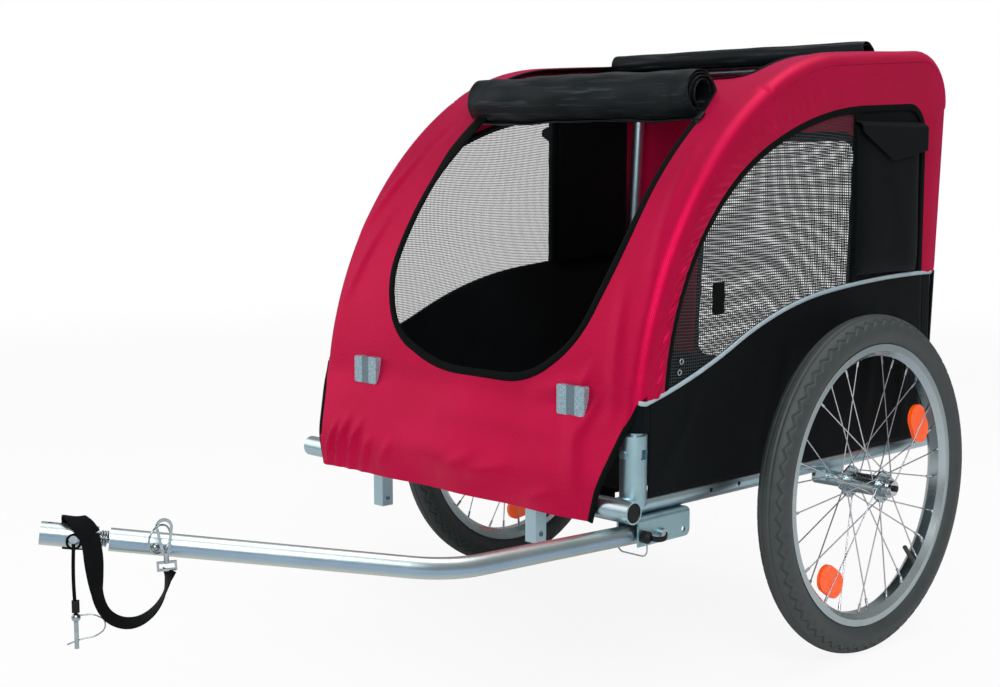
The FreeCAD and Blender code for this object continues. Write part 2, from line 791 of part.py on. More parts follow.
channel_floor = "(side_tube_height - side_tube_diameter / 2 - channel_height)"
channel = doc.addObject("PartDesign::Body", "hitch_channel")
channel_profile = sketch_on(channel, "XZ_Plane", "channel_profile")
outline(channel_profile, [
    ("0", "0"), ("channel_wall", "0"), ("channel_wall", "channel_height - channel_wall"),
    ("channel_width - channel_wall", "channel_height - channel_wall"), ("channel_width - channel_wall", "0"),
    ("channel_width", "0"), ("channel_width", "channel_height"), ("0", "channel_height")])
channel_pad = channel.newObject("PartDesign::Pad", "channel_pad")
channel_pad.Profile = channel_profile
bind(channel_pad, "Length", "channel_front_reach - channel_rear_reach")
channel_holes = sketch_on(channel, "YZ_Plane", "channel_holes")
for reach, rise, diameter in (
        ("tow_bolt_reach", f"{bar_height('tow_bolt_reach')} - {channel_floor}", "tow_bolt_diameter"),
        ("lock_pin_reach", f"{bar_height('lock_pin_reach')} - {channel_floor}", "lock_pin_diameter"),
        ("channel_spare_hole_reach", "channel_spare_hole_rise", "lock_pin_diameter")):
    circle(channel_holes, f"channel_rear_reach - {reach}", rise, f"{diameter} + 2 * clearance")
channel_drilling = drilled(channel, channel_holes, "channel_drilling")
doc.recompute()
channel_round = channel.newObject("PartDesign::Fillet", "channel_round")
channel_round.Base = (channel_drilling, edges_where(
    channel_drilling, lambda edge: abs(edge.CenterOfMass.z - size.channel_height) < size.clearance
    and edge.BoundBox.YLength > size.channel_height and edge.BoundBox.XLength < size.clearance))
bind(channel_round, "Radius", "channel_corner_radius")
doc.recompute()
channel_nose = channel.newObject("PartDesign::Fillet", "channel_nose")
channel_nose.Base = (channel_round, edges_where(
    channel_round, lambda edge: abs(edge.CenterOfMass.z) < size.clearance
    and abs(edge.CenterOfMass.y) < size.clearance and edge.BoundBox.YLength < size.clearance))
bind(channel_nose, "Radius", "channel_nose_radius")
place(channel, ("side_tube_offset - channel_width / 2", "-channel_rear_reach", channel_floor), along_z)
node("hitch_channel", channel)


# Tow bar: straight in the channel, one bend, then up and inwards to the coupling

bar_rear = Vector(size.side_tube_offset, -size.tow_bar_rear_reach, size.tow_bar_rear_height)
bar_corner = Vector(size.side_tube_offset, -size.tow_bar_corner_reach, size.tow_bar_corner_height)
tow_tip = Vector(size.tow_tip_offset, -size.tow_tip_reach, size.tow_tip_height)
ahead = (tow_tip - bar_corner).normalize()
outboard = Vector(0, 0, 1).cross(ahead).normalize()
upward = ahead.cross(outboard)
hitch_frame = Placement(tow_tip, Rotation(outboard, upward, ahead, "ZXY"))
bar_front_setback = size.stub_length + size.coupling_gap


def hitch_spot(out, rise, back):
    return hitch_frame.multVec(Vector(out, rise, -back))


def hitch_cylinder(name, diameter, length, start, along):
    item = doc.addObject("Part::Cylinder", name)
    bind(item, "Radius", f"({diameter}) / 2")
    bind(item, "Height", length)
    item.Placement = hitch_frame.multiply(Placement(Vector(*start), turns[along]))
    return item


def cross_drill(name, diameter, reach):
    return cylinder(name, f"{diameter} + 2 * clearance", "2 * channel_width",
                    ("side_tube_offset - channel_width", f"-{reach}", bar_height(reach)), "x")


bar_front = hitch_spot(0, 0, bar_front_setback)
bar_nose = hitch_spot(0, 0, bar_front_setback + size.tow_bar_nose_length)
bar_bore = size.tow_bar_diameter - 2 * size.tow_bar_wall
bar_path = rounded([bar_rear, bar_corner, bar_front], [size.tow_bar_bend_radius])
bar_blank = sweep(bar_path, size.tow_bar_diameter)
bar_hollow = sweep(rounded([bar_rear, bar_corner, bar_nose], [size.tow_bar_bend_radius]), bar_bore)
bar_tube = feature("tow_bar_tube", bar_blank.cut(bar_hollow))
clip_drill = hitch_cylinder(
    "clip_drill", "clip_pin_diameter + 2 * clearance", "2 * tow_bar_diameter",
    (-size.tow_bar_diameter, 0, -size.clip_setback), "x")
bolt_drill = cross_drill("bolt_drill", "tow_bolt_diameter", "tow_bolt_reach")
pin_drill = cross_drill("pin_drill", "lock_pin_diameter", "lock_pin_reach")
node("tow_bar", cut("tow_bar", bar_tube, clip_drill, bolt_drill, pin_drill))

channel_face = "side_tube_offset + channel_width / 2"
bolt_height = bar_height("tow_bolt_reach")
bolt_shank = cylinder("tow_bolt_shank", "tow_bolt_diameter", "channel_width",
                      ("side_tube_offset - channel_width / 2", "-tow_bolt_reach", bolt_height), "x")
bolt_head = cylinder("tow_bolt_head", "tow_bolt_head_diameter", "tow_bolt_head_length",
                     (channel_face, "-tow_bolt_reach", bolt_height), "x")
bolt_nut = cylinder("tow_bolt_nut", "tow_bolt_head_diameter", "tow_bolt_head_length",
                    ("side_tube_offset - channel_width / 2 - tow_bolt_head_length", "-tow_bolt_reach",
                     bolt_height), "x")
node("tow_pivot_bolt", fuse("tow_pivot_bolt", bolt_shank, bolt_head, bolt_nut))

lock_pin = revolved("tow_lock_pin", [
    ("0", "0"), ("0", "lock_pin_diameter / 2"),
    ("lock_pin_tip_length + channel_width + clearance", "lock_pin_diameter / 2"),
    ("lock_pin_tip_length + channel_width + clearance", "lock_knob_diameter / 2"),
    ("lock_pin_tip_length + channel_width + clearance + lock_knob_length - lock_knob_rounding",
     "lock_knob_diameter / 2"),
    ("lock_pin_tip_length + channel_width + clearance + lock_knob_length",
     "lock_knob_diameter / 2 - lock_knob_rounding"),
    ("lock_pin_tip_length + channel_width + clearance + lock_knob_length", "0")])
place(lock_pin, ("side_tube_offset - channel_width / 2 - lock_pin_tip_length", "-lock_pin_reach",
                 bar_height("lock_pin_reach")), along_z)
node("tow_lock_pin", lock_pin)

pin_height = number(bar_height("lock_pin_reach"))
wire_out = size.side_tube_offset + size.channel_width / 2 + size.clearance + size.lock_knob_length / 2
wire_in = size.side_tube_offset - size.channel_width / 2 - size.lock_pin_tip_length / 2
wire_low = pin_height - size.lock_wire_drop
lock_wire_points = [Vector(across, -size.lock_pin_reach, up) for across, up in (
    (wire_out, pin_height), (wire_out, wire_low), (wire_in, wire_low), (wire_in, pin_height))]
lock_wire_bend = (size.lock_wire_drop - size.lock_knob_diameter / 2) / 2
lock_wire = feature("lock_wire_blank", sweep(
    rounded(lock_wire_points, [lock_wire_bend, lock_wire_bend]), size.lock_wire_diameter))
node("lock_pin_wire", cut("lock_pin_wire", lock_wire, lock_pin))


# Hitch stub and spring coupling

stub_outer = hitch_cylinder("stub_outer", "stub_diameter", "stub_length", (0, 0, -size.stub_length), "z")
stub_bore = hitch_cylinder("stub_bore", "stub_diameter - 2 * stub_wall", "stub_bore_depth",
                           (0, 0, -size.stub_bore_depth), "z")
stub_pin_hole = hitch_cylinder("stub_pin_hole", "stub_pin_hole_diameter", "2 * stub_diameter",
                               (0, -size.stub_diameter, -size.stub_pin_hole_setback), "y")
stub_bolt_hole = hitch_cylinder("stub_bolt_hole", "stub_bolt_diameter + 2 * clearance", "2 * stub_diameter",
                                (-size.stub_diameter, 0, -size.stub_bolt_setback), "x")
node("hitch_stub", cut("hitch_stub", stub_outer, stub_bore, stub_pin_hole, stub_bolt_hole))

stub_face = size.stub_diameter / 2
stub_shank = hitch_cylinder("stub_bolt_shank", "stub_bolt_diameter", "stub_diameter",
                            (-stub_face, 0, -size.stub_bolt_setback), "x")
stub_head = hitch_cylinder("stub_bolt_head", "stub_bolt_head_diameter", "stub_bolt_head_length",
                           (stub_face, 0, -size.stub_bolt_setback), "x")
stub_nut = hitch_cylinder("stub_bolt_nut", "stub_bolt_head_diameter", "stub_bolt_head_length",
                          (-stub_face - size.stub_bolt_head_length, 0, -size.stub_bolt_setback), "x")
node("stub_bolt", fuse("stub_bolt", stub_shank, stub_head, stub_nut))

pivot_setback = size.stub_length + size.coupling_gap / 2
core_ball = doc.addObject("Part::Sphere", "core_ball")
bind(core_ball, "Radius", "coupling_gap / 2 - clearance")
core_ball.Placement = hitch_frame.multiply(Placement(Vector(0, 0, -pivot_setback), Rotation()))
core_rod = hitch_cylinder("core_rod", "coupling_core_diameter", "coupling_gap",
                          (0, 0, -size.stub_length - size.coupling_gap), "z")
node("coupling_core", common("coupling_core", core_ball, core_rod))


def biarc(start, start_way, end, end_way):
    span = end - start
    ways = start_way + end_way
    slope = 2 * (1 - start_way.dot(end_way))
    lean = span.dot(ways)
    reach = (-lean + math.sqrt(lean ** 2 + slope * span.dot(span))) / slope
    first_corner = start + start_way * reach
    second_corner = end - end_way * reach
    joint = (first_corner + second_corner) / 2
    arcs = []
    for tail, corner, head in ((start, first_corner, joint), (joint, second_corner, end)):
        into = (corner - tail).normalize()
        out = (head - corner).normalize()
        half = into.getAngle(out) / 2
        radius = reach / math.tan(half)
        crown = corner + (out - into).normalize() * (radius / math.cos(half) - radius)
        arcs.append(Part.Arc(tail, crown, head).toShape())
    return arcs


def coil(radius, turns_count, length, lead, wire):
    quarters = round(turns_count * 4)
    rise = length / quarters
    flat = radius * math.pi / 2

    def spot(index):
        angle = index * math.pi / 2
        return Vector(radius * math.cos(angle), radius * math.sin(angle), rise * index)

    def way(index):
        angle = index * math.pi / 2
        return Vector(-flat * math.sin(angle), flat * math.cos(angle), rise).normalize()

    edges = [Part.LineSegment(spot(0) - way(0) * lead, spot(0)).toShape()]
    for index in range(quarters):
        edges += biarc(spot(index), way(index), spot(index + 1), way(index + 1))
    edges.append(Part.LineSegment(spot(quarters), spot(quarters) + way(quarters) * lead).toShape())
    samples = [point for edge in edges for point in edge.discretize(9)]
    apart = len(edges) * 9 // quarters * 3
    least = min(one.distanceToPoint(other) for index, one in enumerate(samples)
                for other in samples[index + apart:])
    print(f"coupling spring least gap to itself {least - wire:.2f} mm")
    return edges


spring_run = size.coupling_gap - size.spring_wire_diameter - 4 * size.clearance
spring = sweep(coil(size.spring_coil_diameter / 2, size.spring_turn_count, spring_run,
                    size.spring_wire_diameter, size.spring_wire_diameter), size.spring_wire_diameter)
spring_back = size.stub_length + size.coupling_gap / 2 + spring_run / 2
spring.Placement = hitch_frame.multiply(Placement(Vector(0, 0, -spring_back), Rotation()))
node("coupling_spring", feature("coupling_spring", spring))


# Clip pin through the bar, with its ring, and the snap hook on the ring

clip_length = "clip_head_standoff + tow_bar_diameter / 2 + clip_pin_tail"
clip_shank = hitch_cylinder("clip_shank", "clip_pin_diameter", clip_length,
                            (-size.tow_bar_diameter / 2 - size.clip_pin_tail, 0, -size.clip_setback), "x")
clip_head = doc.addObject("Part::Sphere", "clip_head")
bind(clip_head, "Radius", "clip_head_diameter / 2")
clip_head.Placement = hitch_frame.multiply(
    Placement(Vector(size.clip_head_standoff, 0, -size.clip_setback), Rotation()))
ring_turn = Rotation(Vector(0, 1, 0), 90 + size.clip_ring_tilt_angle)
ring_place = hitch_frame.multiply(Placement(
    Vector(size.clip_ring_standoff, size.clip_ring_rise, -size.clip_ring_setback), ring_turn))


def clip_torus(name, wire):
    item = doc.addObject("Part::Torus", name)
    bind(item, "Radius1", "clip_ring_radius")
    bind(item, "Radius2", f"({wire}) / 2")
    item.Placement = ring_place
    return item


ring_groove = clip_torus("clip_ring_groove", "clip_ring_wire_diameter + 2 * clearance")
clip_pin = cut("clip_pin", fuse("clip_pin_blank", clip_shank, clip_head), ring_groove)
node("bar_clip", group("bar_clip", clip_pin, clip_torus("clip_ring", "clip_ring_wire_diameter")))

hook_turn = Rotation(Vector(1, 0, 0), size.hook_lean_angle)
hook_place = hitch_frame.multiply(Placement(
    Vector(size.clip_ring_standoff, size.hook_rise, -size.hook_setback), hook_turn))


def teardrop(top, bottom):
    drop = size.hook_length
    angle = math.asin((top - bottom) / drop)

    def rim(radius, centre, degrees):
        return Vector(0, centre + radius * math.sin(degrees), radius * math.cos(degrees))

    right = -angle
    left = math.pi + angle
    crown = math.pi / 2
    edges = [Part.Arc(rim(top, 0, right), rim(top, 0, crown), rim(top, 0, left)).toShape(),
             Part.LineSegment(rim(top, 0, left), rim(bottom, -drop, left)).toShape(),
             Part.Arc(rim(bottom, -drop, left), rim(bottom, -drop, -crown),
                      rim(bottom, -drop, right)).toShape(),
             Part.LineSegment(rim(bottom, -drop, right), rim(top, 0, right)).toShape()]
    return extruded(edges, Vector(size.hook_thickness, 0, 0))


hook_shift = Vector(-size.hook_thickness / 2, 0, 0)
hook_ring = teardrop(size.hook_top_radius, size.hook_bottom_radius).cut(
    teardrop(size.hook_top_radius - size.hook_rib, size.hook_bottom_radius - size.hook_rib))
hook_slope = math.asin((size.hook_top_radius - size.hook_bottom_radius) / size.hook_length)
gate_foot = size.hook_rib / 2 - size.gate_low
gate_middle = size.hook_top_radius - size.hook_rib / 2 + gate_foot * math.sin(hook_slope)
gate_middle /= math.cos(hook_slope)


def gate_space(gap, room):
    length = -size.gate_high - gate_foot
    leg = Part.makeBox(size.hook_thickness, length + gap, size.hook_top_radius * 2, Vector(0, gate_foot, 0))
    knuckle = Part.makeCylinder(size.hook_rib / 2 + room, size.hook_thickness,
                                Vector(0, gate_foot, gate_middle), Vector(1, 0, 0))
    return leg, knuckle


gate_leg, gate_knuckle = gate_space(0, 0)
swivel_top = -size.hook_length - size.hook_bottom_radius
swivel = Part.makeCylinder(size.swivel_diameter / 2, size.swivel_length + size.hook_rib,
                           Vector(size.hook_thickness / 2, swivel_top + size.hook_rib, 0), Vector(0, -1, 0))
eye_top = swivel_top - size.swivel_length
eye_outer = Part.makeBox(size.hook_thickness, size.eye_height, size.eye_width,
                         Vector(0, eye_top - size.eye_height + size.eye_rib, -size.eye_width / 2))
eye_low = eye_top - size.eye_height + 2 * size.eye_rib
eye_inner = Part.makeBox(size.hook_thickness, size.eye_height - 2 * size.eye_rib,
                         size.eye_width - 2 * size.eye_rib,
                         Vector(0, eye_low, size.eye_rib - size.eye_width / 2))
hook_body = hook_ring.cut(list(gate_space(size.gate_gap, size.clearance))).fuse([swivel, eye_outer])
hook_body = hook_body.cut(eye_inner).translated(hook_shift)
gate_body = hook_ring.common(gate_leg).fuse(gate_knuckle).removeSplitter().translated(hook_shift)
hook_body.Placement = hook_place.multiply(hook_body.Placement)
gate_body.Placement = hook_place.multiply(gate_body.Placement)
node("snap_hook", feature("snap_hook", hook_body))
node("snap_gate", feature("snap_gate", gate_body))


# Safety strap: a band round the stub, and the free stretch that hangs to the hook's eye

strap_back = size.stub_length - size.clearance
band_outer = hitch_cylinder("strap_band_outer", "stub_diameter + 2 * clearance + 2 * strap_thickness",
                            "strap_width", (0, 0, -strap_back), "z")
band_inner = hitch_cylinder("strap_band_inner", "stub_diameter + 2 * clearance", "strap_width",
                            (0, 0, -strap_back), "z")
strap_points = [tow_tip + outboard * out - ahead * back - Vector(0, 0, drop)
                for out, back, drop in strap_route]
eye_bottom = hook_place.multVec(Vector(0, eye_top - size.eye_height + size.eye_rib, 0))
strap_points.append(eye_bottom)
strap_radii = cord_radii(strap_points)
print("safety strap radii", [round(radius, 1) for radius in strap_radii])
eye_guard = Part.makeBox(size.eye_width, size.eye_height + size.clearance, size.eye_width, Vector(
    -size.eye_width / 2, eye_top - size.eye_height + size.eye_rib - size.clearance, -size.eye_width / 2))
eye_guard.Placement = hook_place
strap_tail = sweep(rounded(strap_points, strap_radii), size.strap_cord_diameter).cut(eye_guard)
strap_tail = feature("strap_tail", strap_tail)
node("safety_strap", cut("safety_strap", fuse("strap_blank", band_outer, strap_tail), band_inner))


# Hitch pin that hangs from the stub bolt on its lanyard

lanyard_top = hitch_spot(stub_face + size.stub_bolt_head_length / 2, 0, size.stub_bolt_setback)
lanyard_top -= Vector(0, 0, size.stub_bolt_head_diameter / 2 + size.clearance)
lanyard_foot = lanyard_top - Vector(0, 0, size.lanyard_length)
lanyard = doc.addObject("Part::Cylinder", "pin_lanyard")
bind(lanyard, "Radius", "lanyard_diameter / 2")
bind(lanyard, "Height", "lanyard_length")
lanyard.Placement = Placement(lanyard_foot, Rotation())
node("pin_lanyard", lanyard)
pin_head = doc.addObject("Part::Sphere", "hitch_pin_head")
bind(pin_head, "Radius", "hitch_pin_head_diameter / 2")
wire_head = lanyard_foot - Vector(0, 0, size.hitch_pin_head_diameter / 2)
pin_head.Placement = Placement(wire_head, Rotation())
pin_shank = doc.addObject("Part::Cylinder", "hitch_pin_shank")
bind(pin_shank, "Radius", "hitch_pin_diameter / 2")
bind(pin_shank, "Height", "hitch_pin_length + hitch_pin_head_diameter / 2")
pin_shank.Placement = Placement(
    wire_head - Vector(0, 0, size.hitch_pin_length + size.hitch_pin_head_diameter / 2), Rotation())
node("hitch_pin", fuse("hitch_pin", pin_head, pin_shank))

backward = Vector(-ahead.x, -ahead.y, 0).normalize()
hitch_wire_points = [
    wire_head + backward * (size.hitch_wire_reach * across) - Vector(0, 0, size.hitch_pin_length * down)
    - outboard * (size.hitch_pin_head_diameter * beside) for across, down, beside in hitch_wire_shares]
node("hitch_pin_wire", feature("hitch_pin_wire", sweep(
    rounded(hitch_wire_points, cord_radii(hitch_wire_points)), size.hitch_wire_diameter)))


# Wheels, drawn about their own middle and set on the left; the right wheel is its mirror image

wheel_place = ("track_half", "0", "axle_height")


def tyre_body():
    body = doc.addObject("PartDesign::Body", "tyre_left")
    sketch = sketch_on(body, "XZ_Plane", "tyre_section")
    middle = "axle_height - tyre_section / 2"
    radius = size.tyre_section / 2
    centre = Vector(0, number(middle), 0)
    drop = number(middle) - size.tyre_bead_radius
    for index, reach in enumerate((radius, radius - size.tyre_wall)):
        foot = math.acos(drop / reach)
        ring = Part.Circle(centre, Vector(0, 0, 1), reach)
        sketch.addGeometry(Part.ArcOfCircle(ring, foot - math.pi / 2, 3 * math.pi / 2 - foot))
        hold(sketch, index, 3, "0", middle)
        row = sketch.addConstraint(Sketcher.Constraint("Radius", index, reach))
        bind(sketch, f"Constraints[{row}]", f"tyre_section / 2 - {index} * tyre_wall")
        for point in (1, 2):
            row = sketch.addConstraint(
                Sketcher.Constraint("DistanceY", -1, 1, index, point, size.tyre_bead_radius))
            bind(sketch, f"Constraints[{row}]", "tyre_bead_radius")
    arcs = sketch.Geometry
    sketch.addGeometry(Part.LineSegment(arcs[0].StartPoint, arcs[1].StartPoint))
    sketch.addGeometry(Part.LineSegment(arcs[0].EndPoint, arcs[1].EndPoint))
    for line, point in ((2, 1), (3, 2)):
        sketch.addConstraint(Sketcher.Constraint("Coincident", line, 1, 0, point))
        sketch.addConstraint(Sketcher.Constraint("Coincident", line, 2, 1, point))
    turn = body.newObject("PartDesign::Revolution", "tyre_turn")
    turn.Profile = sketch
    turn.ReferenceAxis = (sketch, ["H_Axis"])
    turn.Angle = 360
    return body


def rim_body():
    edge = "rim_width / 2"
    lip = "rim_width / 2 - rim_flange_width"
    seat = "tyre_bead_radius - clearance"
    return revolved("rim_left", [
        (f"-({edge})", "rim_flange_radius"), (f"-({lip})", "rim_flange_radius"), (f"-({lip})", seat),
        (lip, seat), (lip, "rim_flange_radius"), (edge, "rim_flange_radius"), (edge, "rim_shoulder_radius"),
        ("rim_floor_width / 2", "rim_inner_radius"), ("-rim_floor_width / 2", "rim_inner_radius"),
        (f"-({edge})", "rim_shoulder_radius")])


def hub_body():
    end = "hub_width / 2"
    shelf = "hub_width / 2 - bearing_width"
    outer = "hub_flange_spread / 2 + hub_flange_thickness / 2"
    inner = "hub_flange_spread / 2 - hub_flange_thickness / 2"
    half = [(outer, "hub_flange_diameter / 2"), (outer, "hub_shell_diameter / 2"),
            (end, "hub_shell_diameter / 2"), (end, "bearing_diameter / 2"), (shelf, "bearing_diameter / 2"),
            (shelf, "hub_bore_diameter / 2")]
    waist = [(inner, "hub_shell_diameter / 2"), (inner, "hub_flange_diameter / 2")]
    other = [(f"-({across})", up) for across, up in reversed(half)]
    other_waist = [(f"-({across})", up) for across, up in reversed(waist)]
    body = revolved("hub_left", waist + half + other + other_waist)
    sketch = sketch_on(body, "YZ_Plane", "spoke_hole")
    circle(sketch, "spoke_circle_diameter / 2", "0", "spoke_hole_diameter")
    hole = drilled(body, sketch, "spoke_drilling")
    ring = body.newObject("PartDesign::PolarPattern", "spoke_ring")
    ring.Originals = [hole]
    ring.Axis = (sketch, ["N_Axis"])
    ring.Angle = 360
    bind(ring, "Occurrences", "flange_spoke_count")
    body.Tip = ring
    return body


def spoke(flange, index):
    step = 360 / size.flange_spoke_count
    sweep_way = 1 if index % 2 else -1
    hub_angle = math.radians(index * step)
    rim_shift = flange * spoke_shift_share * step
    rim_angle = math.radians(index * step + sweep_way * size.spoke_sweep_angle + rim_shift)
    face = (size.hub_flange_thickness + size.spoke_diameter) / 2 + size.spoke_standoff
    hub_across = flange * size.hub_flange_spread / 2 + sweep_way * face
    rim_across = flange * size.spoke_rim_spread / 2
    hub_spot = Vector(hub_across, math.cos(hub_angle), math.sin(hub_angle))
    hub_spot = Vector(hub_across, hub_spot.y * size.spoke_circle_diameter / 2,
                      hub_spot.z * size.spoke_circle_diameter / 2)
    rim_reach = size.rim_inner_radius - size.nipple_gap
    rim_spot = Vector(rim_across, math.cos(rim_angle) * rim_reach, math.sin(rim_angle) * rim_reach)
    way = (rim_spot - hub_spot).normalize()
    length = (rim_spot - hub_spot).Length
    wire = Part.makeCylinder(size.spoke_diameter / 2, length, hub_spot, way)
    nipple = Part.makeCylinder(size.nipple_diameter / 2, size.nipple_length,
                               rim_spot - way * size.nipple_length, way)
    elbow_length = 2 * face
    elbow = Part.makeCylinder(size.spoke_diameter / 2, elbow_length, hub_spot, Vector(-sweep_way, 0, 0))
    knee = Part.makeSphere(size.spoke_diameter / 2, hub_spot)
    return wire.fuse([nipple, elbow, knee])


def wheel_reflector(angle):
    half = (size.wheel_reflector_length - size.wheel_reflector_width) / 2
    radius = size.wheel_reflector_width / 2
    low = Vector(0, size.wheel_reflector_radius, -half)
    high = Vector(0, size.wheel_reflector_radius, half)
    side = Vector(0, radius, 0)
    end = Vector(0, 0, radius)
    edges = [Part.LineSegment(low + side, high + side).toShape(),
             Part.Arc(high + side, high + end, high - side).toShape(),
             Part.LineSegment(high - side, low - side).toShape(),
             Part.Arc(low - side, low - end, low + side).toShape()]
    plate = extruded(edges, Vector(size.wheel_reflector_thickness, 0, 0))
    plate.translate(Vector(-size.wheel_reflector_thickness / 2, 0, 0))
    plate.rotate(Vector(), Vector(1, 0, 0), angle)
    return plate


def set_wheel(item):
    place(item, wheel_place, along_z)
    return item


bearing_outer = "bearing_diameter"
bearing_inner = "axle_diameter + 2 * clearance"
bearings = []
for name, start in (("inner_bearing", "track_half - hub_width / 2"),
                    ("outer_bearing", "track_half + hub_width / 2 - bearing_width")):
    race = cylinder(name + "_race", bearing_outer, "bearing_width", (start, "0", "axle_height"), "x")
    eye = cylinder(name + "_eye", bearing_inner, "bearing_width", (start, "0", "axle_height"), "x")
    bearings.append(cut(name, race, eye))

axle_start = "side_tube_offset + side_tube_diameter / 2 + overrun - receiver_length"
hub_inner = "track_half - hub_width / 2"
hub_outer = "track_half + hub_width / 2"
receiver_end = "side_tube_offset + side_tube_diameter / 2 + overrun"
axle_shaft = cylinder("axle_shaft", "axle_diameter", f"{hub_outer} + clearance - ({axle_start})",
                      (axle_start, "0", "axle_height"), "x")
axle_shoulder = cylinder("axle_shoulder", "axle_shoulder_diameter",
                         f"{hub_inner} - ({receiver_end}) - 2 * clearance",
                         (f"{receiver_end} + clearance", "0", "axle_height"), "x")
axle_head = cylinder("axle_head", "axle_head_diameter", "axle_head_length",
                     (f"{hub_outer} + clearance", "0", "axle_height"), "x")
button_floor = f"{hub_outer} + clearance + axle_head_length + button_travel - button_length"
button_room = cylinder("button_room", "button_diameter + 2 * clearance", "button_length + button_travel",
                       (f"{button_floor} - button_travel - clearance", "0", "axle_height"), "x")
axle = cut("axle_left", fuse("axle_blank", axle_shaft, axle_shoulder, axle_head), button_room)
button = cylinder("release_button_left", "button_diameter", "button_length",
                  (button_floor, "0", "axle_height"), "x")

valve_turn = Rotation(Vector(1, 0, 0), size.valve_angle - 90)
valve = doc.addObject("Part::Cylinder", "valve_left")
bind(valve, "Radius", "valve_diameter / 2")
bind(valve, "Height", "valve_length")
valve_start = valve_turn.multVec(Vector(0, 0, size.rim_inner_radius - size.clearance - size.valve_length))
valve.Placement = Placement(valve_start + Vector(size.track_half, 0, size.axle_height), valve_turn)

spoke_solids = [spoke(flange, index) for flange in (1, -1) for index in range(int(size.flange_spoke_count))]
wheel_pieces = {
    "tyre": set_wheel(tyre_body()), "rim": set_wheel(rim_body()), "hub": set_wheel(hub_body()),
    "spokes": set_wheel(feature("spokes_left", Part.makeCompound(spoke_solids))),
    "bearings": group("bearings_left", *bearings), "axle": axle, "release_button": button, "valve": valve}
for name, piece in wheel_pieces.items():
    node(f"{name}_left", piece)
    node(f"{name}_right", mirrored(f"{name}_right", piece))
reflector_angles = {"left": (size.left_front_reflector_angle, size.left_rear_reflector_angle),
                    "right": (size.right_front_reflector_angle, size.right_rear_reflector_angle)}
for side, angles in reflector_angles.items():
    plates = [wheel_reflector(angle) for angle in angles]
    plates = feature(f"wheel_reflectors_{side}", Part.makeCompound(plates))
    place(plates, ("track_half" if side == "left" else "-track_half", "0", "axle_height"), along_z)
    node(f"wheel_reflectors_{side}", plates)


# Cloth strip over the hoops: front panel, roof and rear panel

cloth_in = size.hoop_diameter / 2 + size.cloth_gap
cloth_out = cloth_in + size.cloth_thickness
side_face = size.side_tube_offset + cloth_in
strip_half = side_face - size.clearance
cabin_width = Vector(2 * strip_half, 0, 0)
far_side = Vector(-strip_half, 0, 0)


def bridge(one, other, last):
    spots = [edge.valueAt(edge.LastParameter if last else edge.FirstParameter) for edge in (one, other)]
    return Part.LineSegment(*spots).toShape()


def strip(base):
    outer = hoop_line(base, cloth_out)
    inner = hoop_line(base, cloth_in)
    ends = [bridge(outer[0], inner[0], False), bridge(outer[-1], inner[-1], True)]
    return extruded(Part.__sortEdges__(outer + ends + inner), cabin_width).translated(far_side)


def slab(low, high):
    return Part.makeBox(high.x - low.x, high.y - low.y, high.z - low.z, low)


def profile_spot(height, proud):
    start, steps = hoop_steps(proud)
    centre = start + Vector(0, steps[0][0], 0)
    rise = height - size.hoop_bend_height
    return centre.y - math.sqrt(steps[0][0] ** 2 - rise ** 2)


cloth_floor = size.side_tube_height + size.side_tube_diameter / 2 + size.cloth_gap
whole_strip = strip(cloth_floor)
span = size.front_tube_half_length
top = 2 * size.rear_split_height
seam = front_bar_spot.y
front_part = slab(Vector(-span, -span - size.front_tube_reach, size.apron_top_height),
                  Vector(span, seam, top))
rear_part = slab(Vector(-span, 0, 0), Vector(span, span, size.rear_split_height))
roof_part = slab(Vector(-span, seam, size.apron_top_height), Vector(span, span, top)).cut(rear_part)

apron_face_y = size.front_tube_reach + size.front_tube_diameter / 2 + size.cloth_gap
apron_section = [
    Vector(0, profile_spot(size.apron_top_height, cloth_out), size.apron_top_height),
    Vector(0, -apron_face_y - size.cloth_thickness, size.apron_bend_height),
    Vector(0, -apron_face_y - size.cloth_thickness, size.panel_bottom_height),
    Vector(0, -apron_face_y, size.panel_bottom_height),
    Vector(0, -apron_face_y, size.apron_bend_height),
    Vector(0, profile_spot(size.apron_top_height, cloth_in), size.apron_top_height)]
apron = extruded(polygon(apron_section), cabin_width).translated(far_side)
apron_side = extruded(polygon([
    Vector(strip_half, 0, size.apron_trim_height),
    Vector(size.apron_bottom_half_width, 0, size.panel_bottom_height - size.overrun),
    Vector(strip_half + size.overrun, 0, size.panel_bottom_height - size.overrun),
    Vector(strip_half + size.overrun, 0, size.apron_trim_height)]),
    Vector(0, 2 * size.front_tube_reach, 0)).translated(Vector(0, -2 * size.front_tube_reach, 0))
apron_trims = [apron_side, apron_side.mirror(Vector(), Vector(1, 0, 0))]

roll_seat = math.radians(size.front_roll_seat_angle)
roll_distance = size.front_roll_radius + size.cross_bar_diameter / 2 + size.clearance
front_roll_spot = front_bar_spot + Vector(0, math.cos(roll_seat), math.sin(roll_seat)) * roll_distance


def roll_room(spot, radius, half_length):
    return Part.makeCylinder(radius + size.clearance, 2 * (half_length + size.clearance),
                             Vector(-half_length - size.clearance, spot.y, spot.z), Vector(1, 0, 0))


def door_prism():
    rise = front_roll_spot.z - size.door_bottom_height
    points = [Vector(size.door_half_width * across, 0, size.door_bottom_height + rise * up)
              for across, up in door_shares]
    edges = rounded(points, cord_radii(points))
    edges.append(Part.LineSegment(points[-1], points[0]).toShape())
    depth = Vector(0, 2 * size.front_tube_reach, 0)
    return extruded(edges, depth).translated(-depth)


